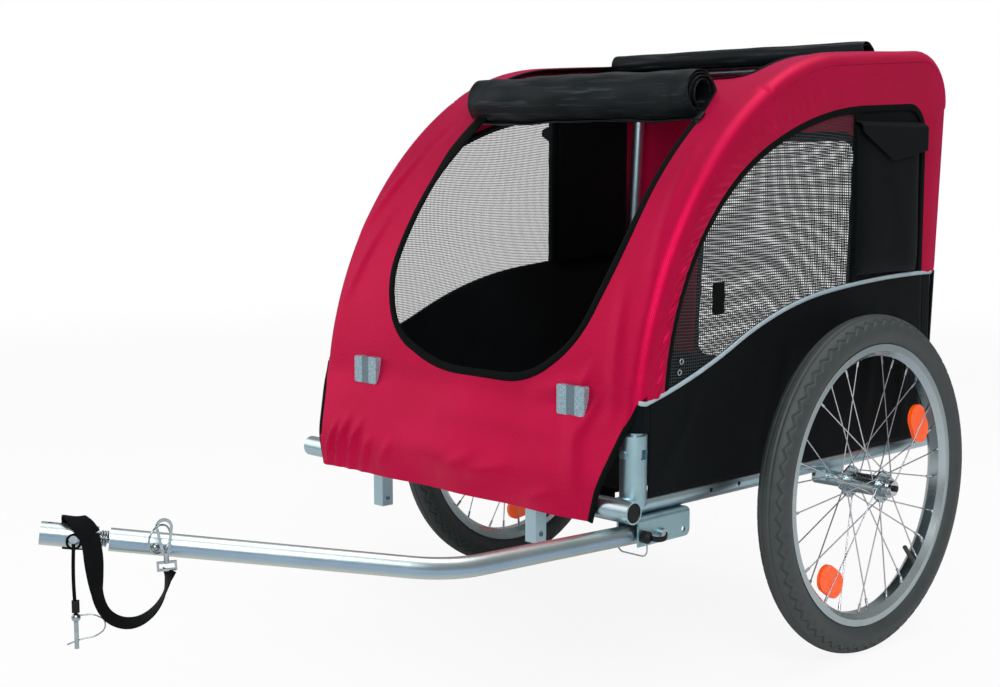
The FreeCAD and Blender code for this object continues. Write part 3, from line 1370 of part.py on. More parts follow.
roof_edge = hoop_line(hoop_base, cloth_out - size.cloth_thickness / 2)[3]
roof_way = roof_edge.tangentAt(roof_edge.FirstParameter)
roof_start = roof_edge.valueAt(roof_edge.FirstParameter)
roof_roll_spot = roof_start + roof_way * ((size.roof_roll_reach - roof_start.y) / roof_way.y)
roll_rooms = [roll_room(front_roll_spot, size.front_roll_radius, size.front_roll_half_length),
              roll_room(roof_roll_spot, size.roof_roll_radius, size.roof_roll_half_length)]
hatch = slab(Vector(-size.hatch_half_width, -size.hatch_front_reach, size.rear_split_height),
             Vector(size.hatch_half_width, size.roof_roll_reach, top))
front_cloth = whole_strip.common(front_part).fuse(apron).cut(apron_trims + [door_prism()] + roll_rooms)
roof_cloth = whole_strip.common(roof_part).cut(roll_rooms + [hatch])
rear_notch = slab(Vector(size.rear_notch_half_width, 0, 0), Vector(span, span, size.skirt_notch_height))


def rear_frame(spot):
    wide = size.rear_window_half_width
    low = size.rear_window_bottom_height
    high = size.rear_window_top_height
    corners = [spot(across, up) for across, up in (
        (0, low), (wide, low), (wide, high), (-wide, high), (-wide, low), (0, low))]
    return rounded(corners, [size.rear_window_radius] * 4)


rear_window = extruded(rear_frame(lambda across, up: Vector(across, 0, up)), Vector(0, span, 0))
rear_cloth = whole_strip.common(rear_part).cut(
    [rear_notch, rear_notch.mirror(Vector(), Vector(1, 0, 0)), rear_window])
node("front_panel", feature("front_panel", front_cloth))
node("roof_panel", feature("roof_panel", roof_cloth))
node("rear_panel", feature("rear_panel", rear_cloth))


# Side cloth: the band along the hoop, the skirt below the piping and the window with its net

def side_region(edges, thickness):
    return extruded(edges, Vector(thickness, 0, 0)).translated(Vector(side_face, 0, 0))


def closed_region(edges, floor):
    first = edges[0].valueAt(edges[0].FirstParameter)
    last = edges[-1].valueAt(edges[-1].LastParameter)
    foot = [first, Vector(0, first.y, floor), Vector(0, last.y, floor), last]
    sides = [Part.LineSegment(one, other).toShape() for one, other in zip(foot, foot[1:]) if one != other]
    return Part.__sortEdges__(edges + sides)


side_sheet = side_region(closed_region(hoop_line(cloth_floor, cloth_out), cloth_floor), size.cloth_thickness)
piping_start = Vector(0, -size.piping_front_reach, size.piping_front_height)
piping_edges, piping_end = chain(piping_start, size.piping_heading_angle, [
    (size.piping_low_radius, size.piping_low_turn_angle),
    (size.piping_mid_radius, size.piping_mid_turn_angle),
    (size.piping_high_radius, size.piping_high_turn_angle)])
piping_edges.append(Part.LineSegment(piping_end, Vector(0, span, piping_end.z)).toShape())
below = side_region(closed_region(piping_edges, cloth_floor - size.overrun), size.cloth_thickness)
front_edge = -size.hoop_front_reach - cloth_out - size.overrun
corner_cuts = [slab(Vector(side_face, front_edge, 0),
                    Vector(side_face + span, -size.skirt_front_reach, size.skirt_notch_height)),
               slab(Vector(side_face, size.skirt_rear_reach, 0),
                    Vector(side_face + span, span, size.skirt_notch_height))]
skirt = feature("side_skirt", side_sheet.common(below).cut(corner_cuts))
node("side_skirts", pair("side_skirts", skirt))

window_start = Vector(0, -size.window_front_reach, size.window_start_height)
window_steps = [(size.window_front_radius, size.window_front_turn_angle),
                (size.window_roof_radius, size.window_roof_turn_angle)]
window_edges, window_crown = chain(window_start, 0, window_steps)
window_heading = size.window_front_turn_angle + size.window_roof_turn_angle
window_turn = 180 - window_heading
corner_reach = arc_step(window_heading, size.window_corner_radius, window_turn)
crown_way = heading_vector(window_heading)
crown_run = (size.window_rear_reach - corner_reach.y - window_crown.y) / crown_way.y
window_edges, window_end = chain(window_start, 0, window_steps + [
    (crown_run,), (size.window_corner_radius, window_turn)])
window = side_region(closed_region(window_edges, size.window_start_height), size.cloth_thickness)
band = feature("side_band", side_sheet.cut([below, window]))
node("side_bands", pair("side_bands", band))


def net_holes(face, spot, start, columns, high, rows):
    gap = size.net_gap
    edge = size.net_margin
    holes = []
    for column in range(columns):
        across = start - edge - gap - column * size.net_spacing
        for row in range(rows):
            up = high - (row + 1) * size.net_spacing
            room = [spot(across + y, up + z) for y, z in (
                (-edge, -edge), (gap + edge, -edge), (gap + edge, gap + edge), (-edge, gap + edge))]
            if all(face.isInside(corner, size.clearance, True) for corner in room):
                holes.append(Part.makePolygon([spot(across + y, up + z) for y, z in (
                    (0, 0), (0, gap), (gap, gap), (gap, 0), (0, 0))]))
    return holes


def holed(face, holes):
    sheet_face = Part.Face([face.OuterWire] + holes)
    sheet_face.validate()
    return sheet_face


net_solid = window.cut(below)
net_face = min((face for face in net_solid.Faces if face.BoundBox.XLength < size.clearance),
               key=lambda face: face.CenterOfMass.x)
net_room = net_face.BoundBox
side_holes = net_holes(net_face, lambda across, up: Vector(side_face, across, up), size.net_rear_reach,
                       int((net_room.YLength + size.net_rear_reach) / size.net_spacing), net_room.ZMax,
                       int(net_room.ZLength / size.net_spacing))
side_net = feature("window_net", holed(net_face, side_holes).extrude(Vector(size.net_thickness, 0, 0)))

leg_edge = hoop_line(cloth_floor, (cloth_in + cloth_out - size.net_thickness) / 2)[5]
leg_top = leg_edge.valueAt(leg_edge.FirstParameter)
leg_way = leg_edge.tangentAt(leg_edge.FirstParameter)


def rear_spot(across, up):
    return Vector(across, leg_top.y + leg_way.y * (up - leg_top.z) / leg_way.z, up)


rear_face = Part.Face(Part.Wire(rear_frame(rear_spot)))
rear_columns = int(2 * size.rear_window_half_width / size.net_spacing)
rear_start = (rear_columns * size.net_spacing - size.net_spacing + size.net_gap) / 2 + size.net_margin
rear_holes = net_holes(rear_face, rear_spot, rear_start, rear_columns, size.rear_window_top_height,
                       int((size.rear_window_top_height - size.rear_window_bottom_height) / size.net_spacing))
rear_net = feature("rear_net", holed(rear_face, rear_holes).extrude(Vector(0, size.net_thickness, 0)))
print(f"net gaps {len(side_holes)} on each side and {len(rear_holes)} at the rear")
node("window_nets", group("window_nets", side_net, mirrored("window_net_right", side_net), rear_net))


# Pockets behind the windows, each with a pointed flap sewn along its top

pocket_face = side_face + size.net_thickness + size.clearance
pocket_box = box("pocket_box", ("pocket_depth", "pocket_rear_reach - pocket_front_reach",
                                "flap_top_height - cloth_thickness - clearance - pocket_bottom_height"),
                 ("0", "pocket_front_reach", "pocket_bottom_height"))
pocket_box.setExpression("Placement.Base.x", None)
pocket_box.Placement.Base.x = pocket_face
doc.recompute()
pocket = doc.addObject("Part::Fillet", "pocket_left")
pocket.Base = pocket_box
outer_x = pocket_face + size.pocket_depth
pocket.Edges = [(index, size.pocket_rounding, size.pocket_rounding)
                for index, edge in enumerate(pocket_box.Shape.Edges, start=1)
                if edge.BoundBox.XMin > outer_x - size.clearance]
node("pocket_left", pocket)
node("pocket_right", mirrored("pocket_right", pocket))

flap_out = outer_x + size.clearance + size.cloth_thickness
flap_low = size.flap_top_height - size.cloth_thickness
flap_start = Vector(0, size.pocket_front_reach - size.flap_overhang, 0)
flap_width = Vector(0, size.pocket_rear_reach - size.pocket_front_reach + 2 * size.flap_overhang, 0)
flap_point = size.flap_top_height - size.flap_point_drop
flap_face = pocket_face + size.flap_standoff
flap_section = [Vector(flap_face, 0, size.flap_top_height), Vector(flap_out, 0, size.flap_top_height),
                Vector(flap_out, 0, flap_point), Vector(flap_out - size.cloth_thickness, 0, flap_point),
                Vector(flap_out - size.cloth_thickness, 0, flap_low), Vector(flap_face, 0, flap_low)]
flap_blank = extruded(polygon(flap_section), flap_width).translated(flap_start)
flap_middle = flap_start + flap_width * flap_point_share
flap_trims = [
    extruded(polygon([
        Vector(0, end.y, size.flap_top_height - drop), Vector(0, flap_middle.y, flap_point),
        Vector(0, end.y, flap_point - size.overrun)]), Vector(2 * span, 0, 0))
    for end, drop in ((flap_start, size.flap_front_drop), (flap_start + flap_width, size.flap_rear_drop))]
flap = feature("pocket_flap_left", flap_blank.cut(flap_trims))
node("pocket_flap_left", flap)
node("pocket_flap_right", mirrored("pocket_flap_right", flap))


# Rolled-up flaps: one band of cloth wound on itself, drawn with half circles

def roll(spot, radius, turns_count, pitch, half_length):
    outer = []
    inner = []
    across = Vector(0, 1, 0)
    upward_way = Vector(0, 0, 1)
    centre = spot
    reach = radius
    side = 1
    for index in range(2 * int(turns_count)):
        for edges, depth in ((outer, reach), (inner, reach - size.roll_layer)):
            edges.append(Part.Arc(centre + across * (side * depth), centre + upward_way * (side * depth),
                                  centre - across * (side * depth)).toShape())
        centre = centre - across * (side * pitch / 2)
        reach -= pitch / 2
        side = -side
    ends = [bridge(outer[0], inner[0], False), bridge(outer[-1], inner[-1], True)]
    edges = Part.__sortEdges__(outer + inner + ends)
    return extruded(edges, Vector(2 * half_length, 0, 0)).translated(Vector(-half_length, 0, 0))


node("front_flap_roll", feature("front_flap_roll", roll(
    front_roll_spot, size.front_roll_radius, size.front_roll_turn_count, size.front_roll_spacing,
    size.front_roll_half_length)))
node("roof_flap_roll", feature("roof_flap_roll", roll(
    roof_roll_spot, size.roof_roll_radius, size.roof_roll_turn_count, size.roof_roll_spacing,
    size.roof_roll_half_length)))


# Front reflectors on the red panel

reflector_y = profile_spot(size.front_reflector_height, cloth_out)
reflector_box = box("reflector_box", ("front_reflector_width", "front_reflector_depth + cloth_thickness",
                                      "front_reflector_tall"),
                    ("front_reflector_offset - front_reflector_width / 2", "0",
                     "front_reflector_height - front_reflector_tall / 2"))
reflector_box.setExpression("Placement.Base.y", None)
reflector_box.Placement.Base.y = reflector_y - size.front_reflector_depth
doc.recompute()
reflector_blank = doc.addObject("Part::Fillet", "front_reflector_blank")
reflector_blank.Base = reflector_box
reflector_blank.Edges = [(index, size.front_reflector_rounding, size.front_reflector_rounding)
                   for index, edge in enumerate(reflector_box.Shape.Edges, start=1)
                   if edge.BoundBox.YLength > size.front_reflector_depth / 2]
doc.recompute()
reflector_faced = reflector_blank.Shape.cut(front_cloth)
reflector_front = min(reflector_faced.Solids, key=lambda solid: solid.BoundBox.YMin)
node("front_reflectors", pair("front_reflectors", feature("front_reflector", reflector_front)))

doc.recompute()
for item in doc.Objects:
    if "Invalid" in item.State or "Error" in item.State:
        raise RuntimeError(f"{item.Label} failed: {item.State}")
os.makedirs("parts", exist_ok=True)
for label, item in nodes.items():
    shape = item.Shape
    if shape.isNull() or not shape.isValid() or not shape.Solids:
        raise RuntimeError(f"{label} has no valid solid")
    shape.exportStep(f"parts/{label}.step")
print(f"{len(nodes)} nodes written")
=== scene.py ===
import math

import bpy
import numpy as np
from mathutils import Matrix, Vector


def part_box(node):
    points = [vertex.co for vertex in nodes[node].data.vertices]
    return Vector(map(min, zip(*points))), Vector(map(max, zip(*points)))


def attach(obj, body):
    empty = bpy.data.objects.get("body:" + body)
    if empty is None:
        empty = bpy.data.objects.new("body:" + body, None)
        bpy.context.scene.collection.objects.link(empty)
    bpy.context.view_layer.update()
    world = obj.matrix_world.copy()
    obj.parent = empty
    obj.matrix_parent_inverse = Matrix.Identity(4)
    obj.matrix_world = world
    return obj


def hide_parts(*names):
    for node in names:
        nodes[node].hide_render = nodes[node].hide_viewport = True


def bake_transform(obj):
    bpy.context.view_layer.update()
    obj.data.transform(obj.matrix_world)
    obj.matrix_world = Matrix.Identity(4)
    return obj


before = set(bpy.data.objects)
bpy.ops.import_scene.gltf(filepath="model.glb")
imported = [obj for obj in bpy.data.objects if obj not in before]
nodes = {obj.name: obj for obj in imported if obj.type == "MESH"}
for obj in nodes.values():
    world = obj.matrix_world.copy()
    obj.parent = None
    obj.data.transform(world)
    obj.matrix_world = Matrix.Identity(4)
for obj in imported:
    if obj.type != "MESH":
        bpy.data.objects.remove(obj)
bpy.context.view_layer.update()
mm = 0.001


# meshes from arrays; every length below is in millimetres until it goes into a mesh

def addObject(name, data):
    thing = bpy.data.objects.new(name, data)
    bpy.context.scene.collection.objects.link(thing)
    return thing


def addAimed(name, data, at, way):
    # camera or lamp at a place, looking along a direction
    thing = addObject(name, data)
    thing.location = at
    thing.rotation_euler = Vector(way).to_track_quat("-Z", "Y").to_euler()
    return thing


def meshPiece(name, verts, faces, material, uv=None, body="trailer", slot=None, stands=(), thick=0):
    mesh = bpy.data.meshes.new(name)
    mesh.from_pydata(metres(verts), [], faces if isinstance(faces, list) else faces.tolist())
    mesh.polygons.foreach_set("use_smooth", np.full(len(mesh.polygons), True))
    if uv is not None:  # one pair of lengths per vertex, spread to the corners
        corner = np.zeros(len(mesh.loops), dtype=np.int32)
        mesh.loops.foreach_get("vertex_index", corner)
        mesh.uv_layers.new(name="cloth").data.foreach_set("uv", (np.asarray(uv) * mm)[corner].ravel())
    mesh.materials.append(material)
    mesh.validate()
    mesh.update()
    piece = addObject(name, mesh)
    if thick:  # cloth gets its wall inwards of the outer face
        wall = piece.modifiers.new("wall", "SOLIDIFY")
        wall.thickness = thick * mm
        wall.offset = -1
    if body:
        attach(piece, body)
    if stands:
        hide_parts(*stands)
    return piece


def gridFaces(rows, cols, closeRows=False, closeCols=False, flip=False):
    # quads between neighbours of a rows by cols grid, with the last row or column joined to the first if closed
    r = np.arange(rows if closeRows else rows - 1)[:, None]
    c = np.arange(cols if closeCols else cols - 1)[None, :]
    r2, c2 = (r + 1) % rows, (c + 1) % cols
    quad = points(r * cols + c, r * cols + c2, r2 * cols + c2, r2 * cols + c).reshape(-1, 4)
    return quad[:, ::-1] if flip else quad


def gridPiece(name, grid, material, uv=None, closeRows=False, closeCols=False, flip=False, **more):
    rows, cols = grid.shape[:2]
    faces = gridFaces(rows, cols, closeRows, closeCols, flip)
    return meshPiece(name, grid.reshape(-1, 3), faces, material, None if uv is None else uv.reshape(-1, 2), **more)


def points(*columns):
    # one row of coordinates per place, from columns that may be numbers, lines or whole grids
    return np.stack(np.broadcast_arrays(*columns), -1)


def unit(v):
    return v / np.maximum(np.linalg.norm(v, axis=-1, keepdims=True), 1e-9)


def alongPath(path, closed=False):
    # tangents by central differences along a path
    if closed:
        return unit(np.roll(path, -1, 0) - np.roll(path, 1, 0))
    return unit(np.gradient(path, axis=0))


def runAlong(path):
    # length from the start of a path to each of its points
    return np.concatenate([[0], np.cumsum(np.linalg.norm(np.diff(path, axis=0), axis=1))])


def metres(point):
    return (np.asarray(point) * mm).tolist()


def resample(path, count, closed=False):
    # equal steps of length along a path
    line = np.vstack([path, path[:1]]) if closed else path
    run = runAlong(line)
    at = np.linspace(0, run[-1], count, endpoint=not closed)
    return np.stack([np.interp(at, run, line[:, i]) for i in range(line.shape[1])], -1)


def roundSection(width, height, count=12, power=2.0):
    # superellipse with the given width and height
    t = np.linspace(0, 2 * np.pi, count, endpoint=False)
    c, s = np.cos(t), np.sin(t)
    return points(np.sign(c) * np.abs(c) ** (2 / power) * width / 2,
                     np.sign(s) * np.abs(s) ** (2 / power) * height / 2)


def sweepPiece(name, path, side, section, material, closed=False, wider=1.0, **more):
    # a flat section carried along a path: its first number along side, its second, times wider, along tangent x side
    tangent = alongPath(path, closed)
    side = np.broadcast_to(np.asarray(side, float), path.shape)
    side = unit(side - tangent * np.sum(side * tangent, -1, keepdims=True))
    rise = np.cross(tangent, side) * np.broadcast_to(wider, len(path))[:, None]
    grid = path[:, None] + section[None, :, :1] * side[:, None] + section[None, :, 1:] * rise[:, None]
    count = len(section)
    verts = grid.reshape(-1, 3)
    faces = gridFaces(len(path), count, closed, True).tolist()
    if not closed:  # both ends are capped
        faces += [list(range(count))[::-1], list(range(len(verts) - count, len(verts)))]
    return meshPiece(name, verts, faces, material, **more)


def tapePiece(name, path, side, width, height, closed=False, **more):
    return sweepPiece(name, path, side, roundSection(width, height, 12, 2.6), bindingTape, closed, **more)


# materials

def linear(hexCode):
    # sRGB hex to linear colour
    c = np.array([int(hexCode[i:i + 2], 16) for i in (1, 3, 5)]) / 255
    return (*np.where(c <= 0.04045, c / 12.92, ((c + 0.055) / 1.055) ** 2.4), 1.0)


def addNode(tree, kind, settings=None, links=None, to=None, out=0):
    # one node with its settings and incoming links; its output goes to a socket, if one is given, and is handed back
    node = tree.nodes.new("ShaderNode" + kind)
    for key, value in (settings or {}).items():
        if isinstance(key, int) or key in node.inputs:
            node.inputs[key].default_value = value
        else:
            setattr(node, key, value)
    for key, socket in (links or {}).items():
        tree.links.new(socket, node.inputs[key])
    if to:
        tree.links.new(node.outputs[out], to)
    return node.outputs[out]


def newMaterial(name, settings):
    material = bpy.data.materials.new(name)
    material.use_nodes = True
    tree = material.node_tree
    shader = tree.nodes["Principled BSDF"]
    for key, value in settings.items():
        shader.inputs[key].default_value = value
    return material, tree, shader


def mottle(tree, shader, low, high, size, source="Object", rough=None):
    # colour drifts between two tones over patches of the given size in millimetres
    place = addNode(tree, "TexCoord", out=source)
    noise = addNode(tree, "TexNoise", {"Scale": 1000 / size, "Detail": 3.0}, {"Vector": place})
    tone = addNode(tree, "Mix", {"data_type": "RGBA", 6: linear(low), 7: linear(high)}, {0: noise},
                   shader.inputs["Base Color"], 2)
    if rough:
        addNode(tree, "MapRange", {"To Min": rough[0], "To Max": rough[1]}, {"Value": noise},
                shader.inputs["Roughness"])
    return place, tone


def clothMaterial(name, low, high, weave, rough, sheen, sheenTint, source="UV", crease=26, scuff=None, gloss=0.12,
                  satin=0.0):
    # coated woven polyester: fine plain weave under a thin coat, so a soft sheen at glancing angles
    material, tree, shader = newMaterial(name, {"Roughness": rough, "Sheen Weight": sheen, "Sheen Roughness": 0.35,
                                                "Sheen Tint": linear(sheenTint), "Specular Tint": linear(sheenTint),
                                                "Specular IOR Level": gloss, "Metallic": satin})
    place, tone = mottle(tree, shader, low, high, 90, source)
    threads = 1000 / weave / 2 / math.pi * 1.57
    warp, weft = (addNode(tree, "TexWave", {"bands_direction": way, "Scale": threads, "Distortion": 0.4},
                          {"Vector": place}, out="Fac") for way in "XY")
    both = addNode(tree, "Math", {"operation": "ADD"}, {0: warp, 1: weft})
    soft = addNode(tree, "TexNoise", {"Scale": 1000 / crease, "Detail": 2.0}, {"Vector": place})
    mixed = addNode(tree, "Math", {"operation": "MULTIPLY_ADD", 1: 3.0}, {0: soft, 2: both})
    addNode(tree, "Bump", {"Strength": 0.25, "Distance": 0.5 * mm}, {"Height": mixed}, shader.inputs["Normal"])
    if scuff:  # rubbed streaks that run along the roll
        drawn = addNode(tree, "Mapping", {"Scale": (9.0, 160.0, 160.0)}, {"Vector": place})
        streak = addNode(tree, "TexNoise", {"Scale": 1.0, "Detail": 5.0}, {"Vector": drawn})
        mask = addNode(tree, "MapRange", {"From Min": 0.56, "From Max": 0.78, "To Max": 0.7}, {"Value": streak})
        addNode(tree, "Mix", {"data_type": "RGBA", 7: linear(scuff)}, {0: mask, 6: tone},
                shader.inputs["Base Color"], 2)
    return material


def plainMaterial(name, low, high, size, rough, grain=0.0, relief=0.2, settings=None):
    # metal, plastic or rubber: reflections broken a little by the finish, and the tool's fine grain where there is one
    material, tree, shader = newMaterial(name, settings or {})
    place = mottle(tree, shader, low, high, size, rough=rough)[0]
    if grain:
        fine = addNode(tree, "TexNoise", {"Scale": 1000 / grain, "Detail": 2.0}, {"Vector": place})
        addNode(tree, "Bump", {"Strength": relief, "Distance": 0.2 * mm}, {"Height": fine}, shader.inputs["Normal"])
    return material


def metalWithPaintedReflection(name, crown, flank, paintedUnderTone, rough):
    # passivated zinc on drawn tube: a mottled blue film on the flank; the cream on top and the yellow below are painted
    # reflection, set by which way each face points
    material, tree, shader = newMaterial(name, metal)
    tone = mottle(tree, shader, *flank, 45, rough=rough)[1]
    normal = addNode(tree, "NewGeometry", out="Normal")
    facing = addNode(tree, "SeparateXYZ", None, {0: normal}, out=2)
    # painted reflection: faces turned down take the underside tone, faces turned up the crown tone
    for colour, begin, end in ((paintedUnderTone, -0.2, -0.85), (crown, -0.05, 0.7)):
        part = addNode(tree, "MapRange", {"interpolation_type": "SMOOTHSTEP", "From Min": begin, "From Max": end},
                       {"Value": facing})
        tone = addNode(tree, "Mix", {"data_type": "RGBA", 7: linear(colour)}, {0: part, 6: tone},
                       shader.inputs["Base Color"], 2)
    return material


def netMaterial(name, thread, pitch, width):
    # knitted polyester net: dark threads with open cells, drawn coarser than a real net so that it shows
    material, tree, shader = newMaterial(name, {"Base Color": linear(thread), "Roughness": 0.7})
    place = addNode(tree, "TexCoord", out="UV")
    scaled = addNode(tree, "VectorMath", {"operation": "SCALE", "Scale": 1000 / pitch}, {0: place})
    lines = {}
    for axis in (0, 1):
        along = addNode(tree, "SeparateXYZ", None, {0: scaled}, out=axis)
        wave = addNode(tree, "Math", {"operation": "FRACT"}, {0: along})
        lines[axis] = addNode(tree, "Math", {"operation": "LESS_THAN", 1: width[axis] / pitch}, {0: wave})
    addNode(tree, "Math", {"operation": "MAXIMUM"}, lines, shader.inputs["Alpha"])
    return material


def prismMaterial(name, low, high, pitch, settings):
    # moulded prism reflector: small facets under a clear smooth face
    material, tree, shader = newMaterial(name, {"Roughness": 0.2, "Coat Weight": 0.35, "Coat Roughness": 0.05,
                                                **settings})
    place, tone = mottle(tree, shader, low, high, pitch)
    cell = addNode(tree, "TexVoronoi", {"Scale": 1000 / pitch, "feature": "F1", "Randomness": 0.0}, {"Vector": place})
    addNode(tree, "Bump", {"Strength": 0.9, "Distance": 1.2 * mm}, {"Height": cell}, shader.inputs["Normal"])
    return material, tree, shader, place, tone


metal = {"Metallic": 1.0}
# the bar, tube and rim finishes below carry a painted reflection in their crown and underside tones
zincBar = metalWithPaintedReflection("zinc_plated_steel_bar", "#C8D4D3", ("#859FB3", "#9BB2C4"), "#BCC4BA", (0.3, 0.42))
zincTube = metalWithPaintedReflection("zinc_plated_steel_tube", "#D2E0E4", ("#9AB6C1", "#AFC7D0"), "#A0B4BB", (0.26, 0.36))
satinSteel = plainMaterial("zinc_plated_steel_pressing", "#93B4BE", "#ABC8D1", 24, (0.38, 0.5), 1.6, 0.12, metal)
brightSteel = plainMaterial("nickel_plated_steel", "#7C8990", "#B9C4C8", 7, (0.14, 0.26), settings=metal)
rimAlloy = metalWithPaintedReflection("polished_aluminium", "#C2CDCE", ("#9DABAF", "#B9C5C8"), "#95A3AC", (0.2, 0.32))
spokeChrome = plainMaterial("chromed_steel_wire", "#B9BBC6", "#D6D7D9", 20, (0.1, 0.18), settings=metal)
redCloth = clothMaterial("coated_polyester_red", "#B00A36", "#C61246", 1.6, 0.4, 0.6, "#FF3C96", gloss=0.5, satin=0.45)
blackCloth = clothMaterial("coated_polyester_black", "#0A0C0D", "#121516", 1.6, 0.62, 0.06, "#7A8C92")
rolledCloth = clothMaterial("rolled_polyester_black", "#0B0D0E", "#13171A", 1.6, 0.46, 0.1, "#B4C6CC", "Object", 14,
                            "#465156", 0.25)
liningCloth = clothMaterial("lining_polyester_black", "#060708", "#0B0D0D", 1.6, 0.75, 0.03, "#606468", "Object")
bindingTape = clothMaterial("folded_binding_tape", "#090B0B", "#101313", 1.2, 0.7, 0.05, "#606C70", "Object")
webbing = clothMaterial("woven_webbing", "#0B0C0D", "#141617", 2.0, 0.7, 0.12, "#70767A", "Object", 6)
redCord = clothMaterial("stitched_seam_red", "#6A061B", "#860A24", 1.6, 0.55, 0.1, "#FF4A9C", "Object", 9)
netThread = netMaterial("knitted_net", "#1F2629", 4.2, (1.35, 1.5))
pipingTape = plainMaterial("reflective_piping", "#8FA3AD", "#AFC0C8", 14, (0.35, 0.5), 1.2)
tyreRubber = plainMaterial("vulcanised_rubber", "#2E3434", "#3D4444", 14, (0.5, 0.62), 0.8)
blackPlastic = plainMaterial("moulded_black_plastic", "#0A0B0B", "#111213", 14, (0.45, 0.55), 1.0,
                             settings={"Specular IOR Level": 0.25})
# the emission is a painted glow: the orange reflectors shine a little with no lamp on them
glowingOrangePrism = prismMaterial("orange_acrylic_prisms", "#F64A00", "#FF6604", 2.4,
                            {"Emission Color": linear("#FF5204"), "Emission Strength": 0.3})[0]


def clearReflector(lens):
    # clear prisms over a foil, bright at both sides, with a smooth grey strip down the middle
    material, tree, shader, place, tone = prismMaterial("clear_acrylic_prisms", "#456877", "#B9D6E2", 3.6,
                                                          {"Metallic": 0.3})
    across = addNode(tree, "SeparateXYZ", None, {0: place})
    aside = addNode(tree, "Math", {"operation": "ABSOLUTE"}, {0: across})
    middle = addNode(tree, "Math", {"operation": "SUBTRACT", 1: lens["offset"] * mm}, {0: aside})
    off = addNode(tree, "Math", {"operation": "ABSOLUTE"}, {0: middle})
    strip = addNode(tree, "Math", {"operation": "LESS_THAN", 1: lens["strip"] / 2 * mm}, {0: off})
    addNode(tree, "Mix", {"data_type": "RGBA", 7: linear("#5F7682")}, {0: strip, 6: tone},
            shader.inputs["Base Color"], 2)
    return material


clearPrism = clearReflector({"offset": 213.0, "strip": 15.0})
print("materials ready")

# CAD nodes that keep their shape and get the real finish
finishes = {
    zincBar: ["tow_bar", "hitch_stub"],
    zincTube: ["front_cross_tube", "side_tubes", "floor_cross_tubes", "hoop_left", "hoop_right", "cross_bars",
               "front_legs", "axle_receivers"],
    satinSteel: ["front_sockets", "rear_sockets", "hitch_channel", "socket_bolts", "bearings_left", "bearings_right"],
    brightSteel: ["tow_pivot_bolt", "lock_pin_wire", "bar_clip", "coupling_core", "stub_bolt",
                  "snap_hook", "snap_gate", "hitch_pin", "hitch_pin_wire"],
    rimAlloy: ["rim_left", "rim_right", "hub_left", "hub_right"],
    spokeChrome: ["spokes_left", "spokes_right", "axle_left", "axle_right"],
    blackPlastic: ["tube_end_plugs", "tow_lock_pin", "release_button_left", "release_button_right"],
    tyreRubber: ["valve_left", "valve_right"],
    glowingOrangePrism: ["wheel_reflectors_left", "wheel_reflectors_right"],
    clearPrism: ["front_reflectors"],
    liningCloth: ["floor_board"],
}
for material, names in finishes.items():
    for name in names:
        for place in nodes[name].material_slots:
            place.material = material

camera = {"at": (1.6181, -1.9660, 0.7238), "azimuth": 45.75, "elevation": 6.70, "lens": 56.48}
cameraData = bpy.data.cameras.new("camera")
cameraData.lens = camera["lens"]
cameraData.sensor_width = 36
az, el = math.radians(camera["azimuth"]), math.radians(camera["elevation"])
toCamera = Vector((math.sin(az) * math.cos(el), -math.cos(az) * math.cos(el), math.sin(el)))
bpy.context.scene.camera = addAimed("camera", cameraData, camera["at"], -toCamera)

# cover line over the hoop: the heading changes evenly along each bend and stays on each straight
hoop = {"x": 306.0, "front": -447.0, "rear": 242.0, "floor": 292.5, "bend": 333.0, "rearBend": 385.0,
        "r1": 554.0, "t1": 58.6, "r2": 364.0, "t2": 27.7, "r3": 62.0, "lean": 3.6, "r4": 420.0, "proud": 15.5}


def headingLine(start, heading, runs, step=0.5):
    # runs of (length, turn in degrees); y grows with the sine and z with the cosine of the heading
    length = np.array([0] + [run for run, _ in runs]).cumsum()
    turn = heading + np.array([0] + [t for _, t in runs]).cumsum()
    s = np.linspace(0, length[-1], int(length[-1] / step) + 1)
    a = np.radians(np.interp(s, length, turn))
    mid = (a[1:] + a[:-1]) / 2
    ds = np.diff(s)
    y = start[0] + np.concatenate([[0], np.cumsum(np.sin(mid) * ds)])
    z = start[1] + np.concatenate([[0], np.cumsum(np.cos(mid) * ds)])
    return {"s": s, "y": y, "z": z, "ny": -np.cos(a), "nz": np.sin(a), "marks": length}


def hoopRuns():
    arc = lambda r, t: (r * math.radians(abs(t)), t)
    roofTurn = hoop["t1"] + hoop["t2"]
    legTurn = 180 + hoop["lean"]
    bends = [(hoop["bend"] - hoop["floor"], 0), arc(hoop["r1"], hoop["t1"]), arc(hoop["r2"], hoop["t2"])]
    corner, foot = arc(hoop["r3"], legTurn - roofTurn), arc(hoop["r4"], -hoop["lean"])
    drop = (hoop["rearBend"] - hoop["floor"], 0)
    free = headingLine((hoop["front"], hoop["floor"]), 0, bends + [corner, foot, drop])
    miss = np.array([hoop["rear"] - free["y"][-1], hoop["floor"] - free["z"][-1]])
    ways = np.array([[math.sin(math.radians(t)), math.cos(math.radians(t))] for t in (roofTurn, legTurn)]).T
    roofRun, legRun = np.linalg.solve(ways, miss)  # straight lengths that bring the rear foot to its socket
    return bends + [(roofRun, 0), corner, (legRun, 0), foot, drop]


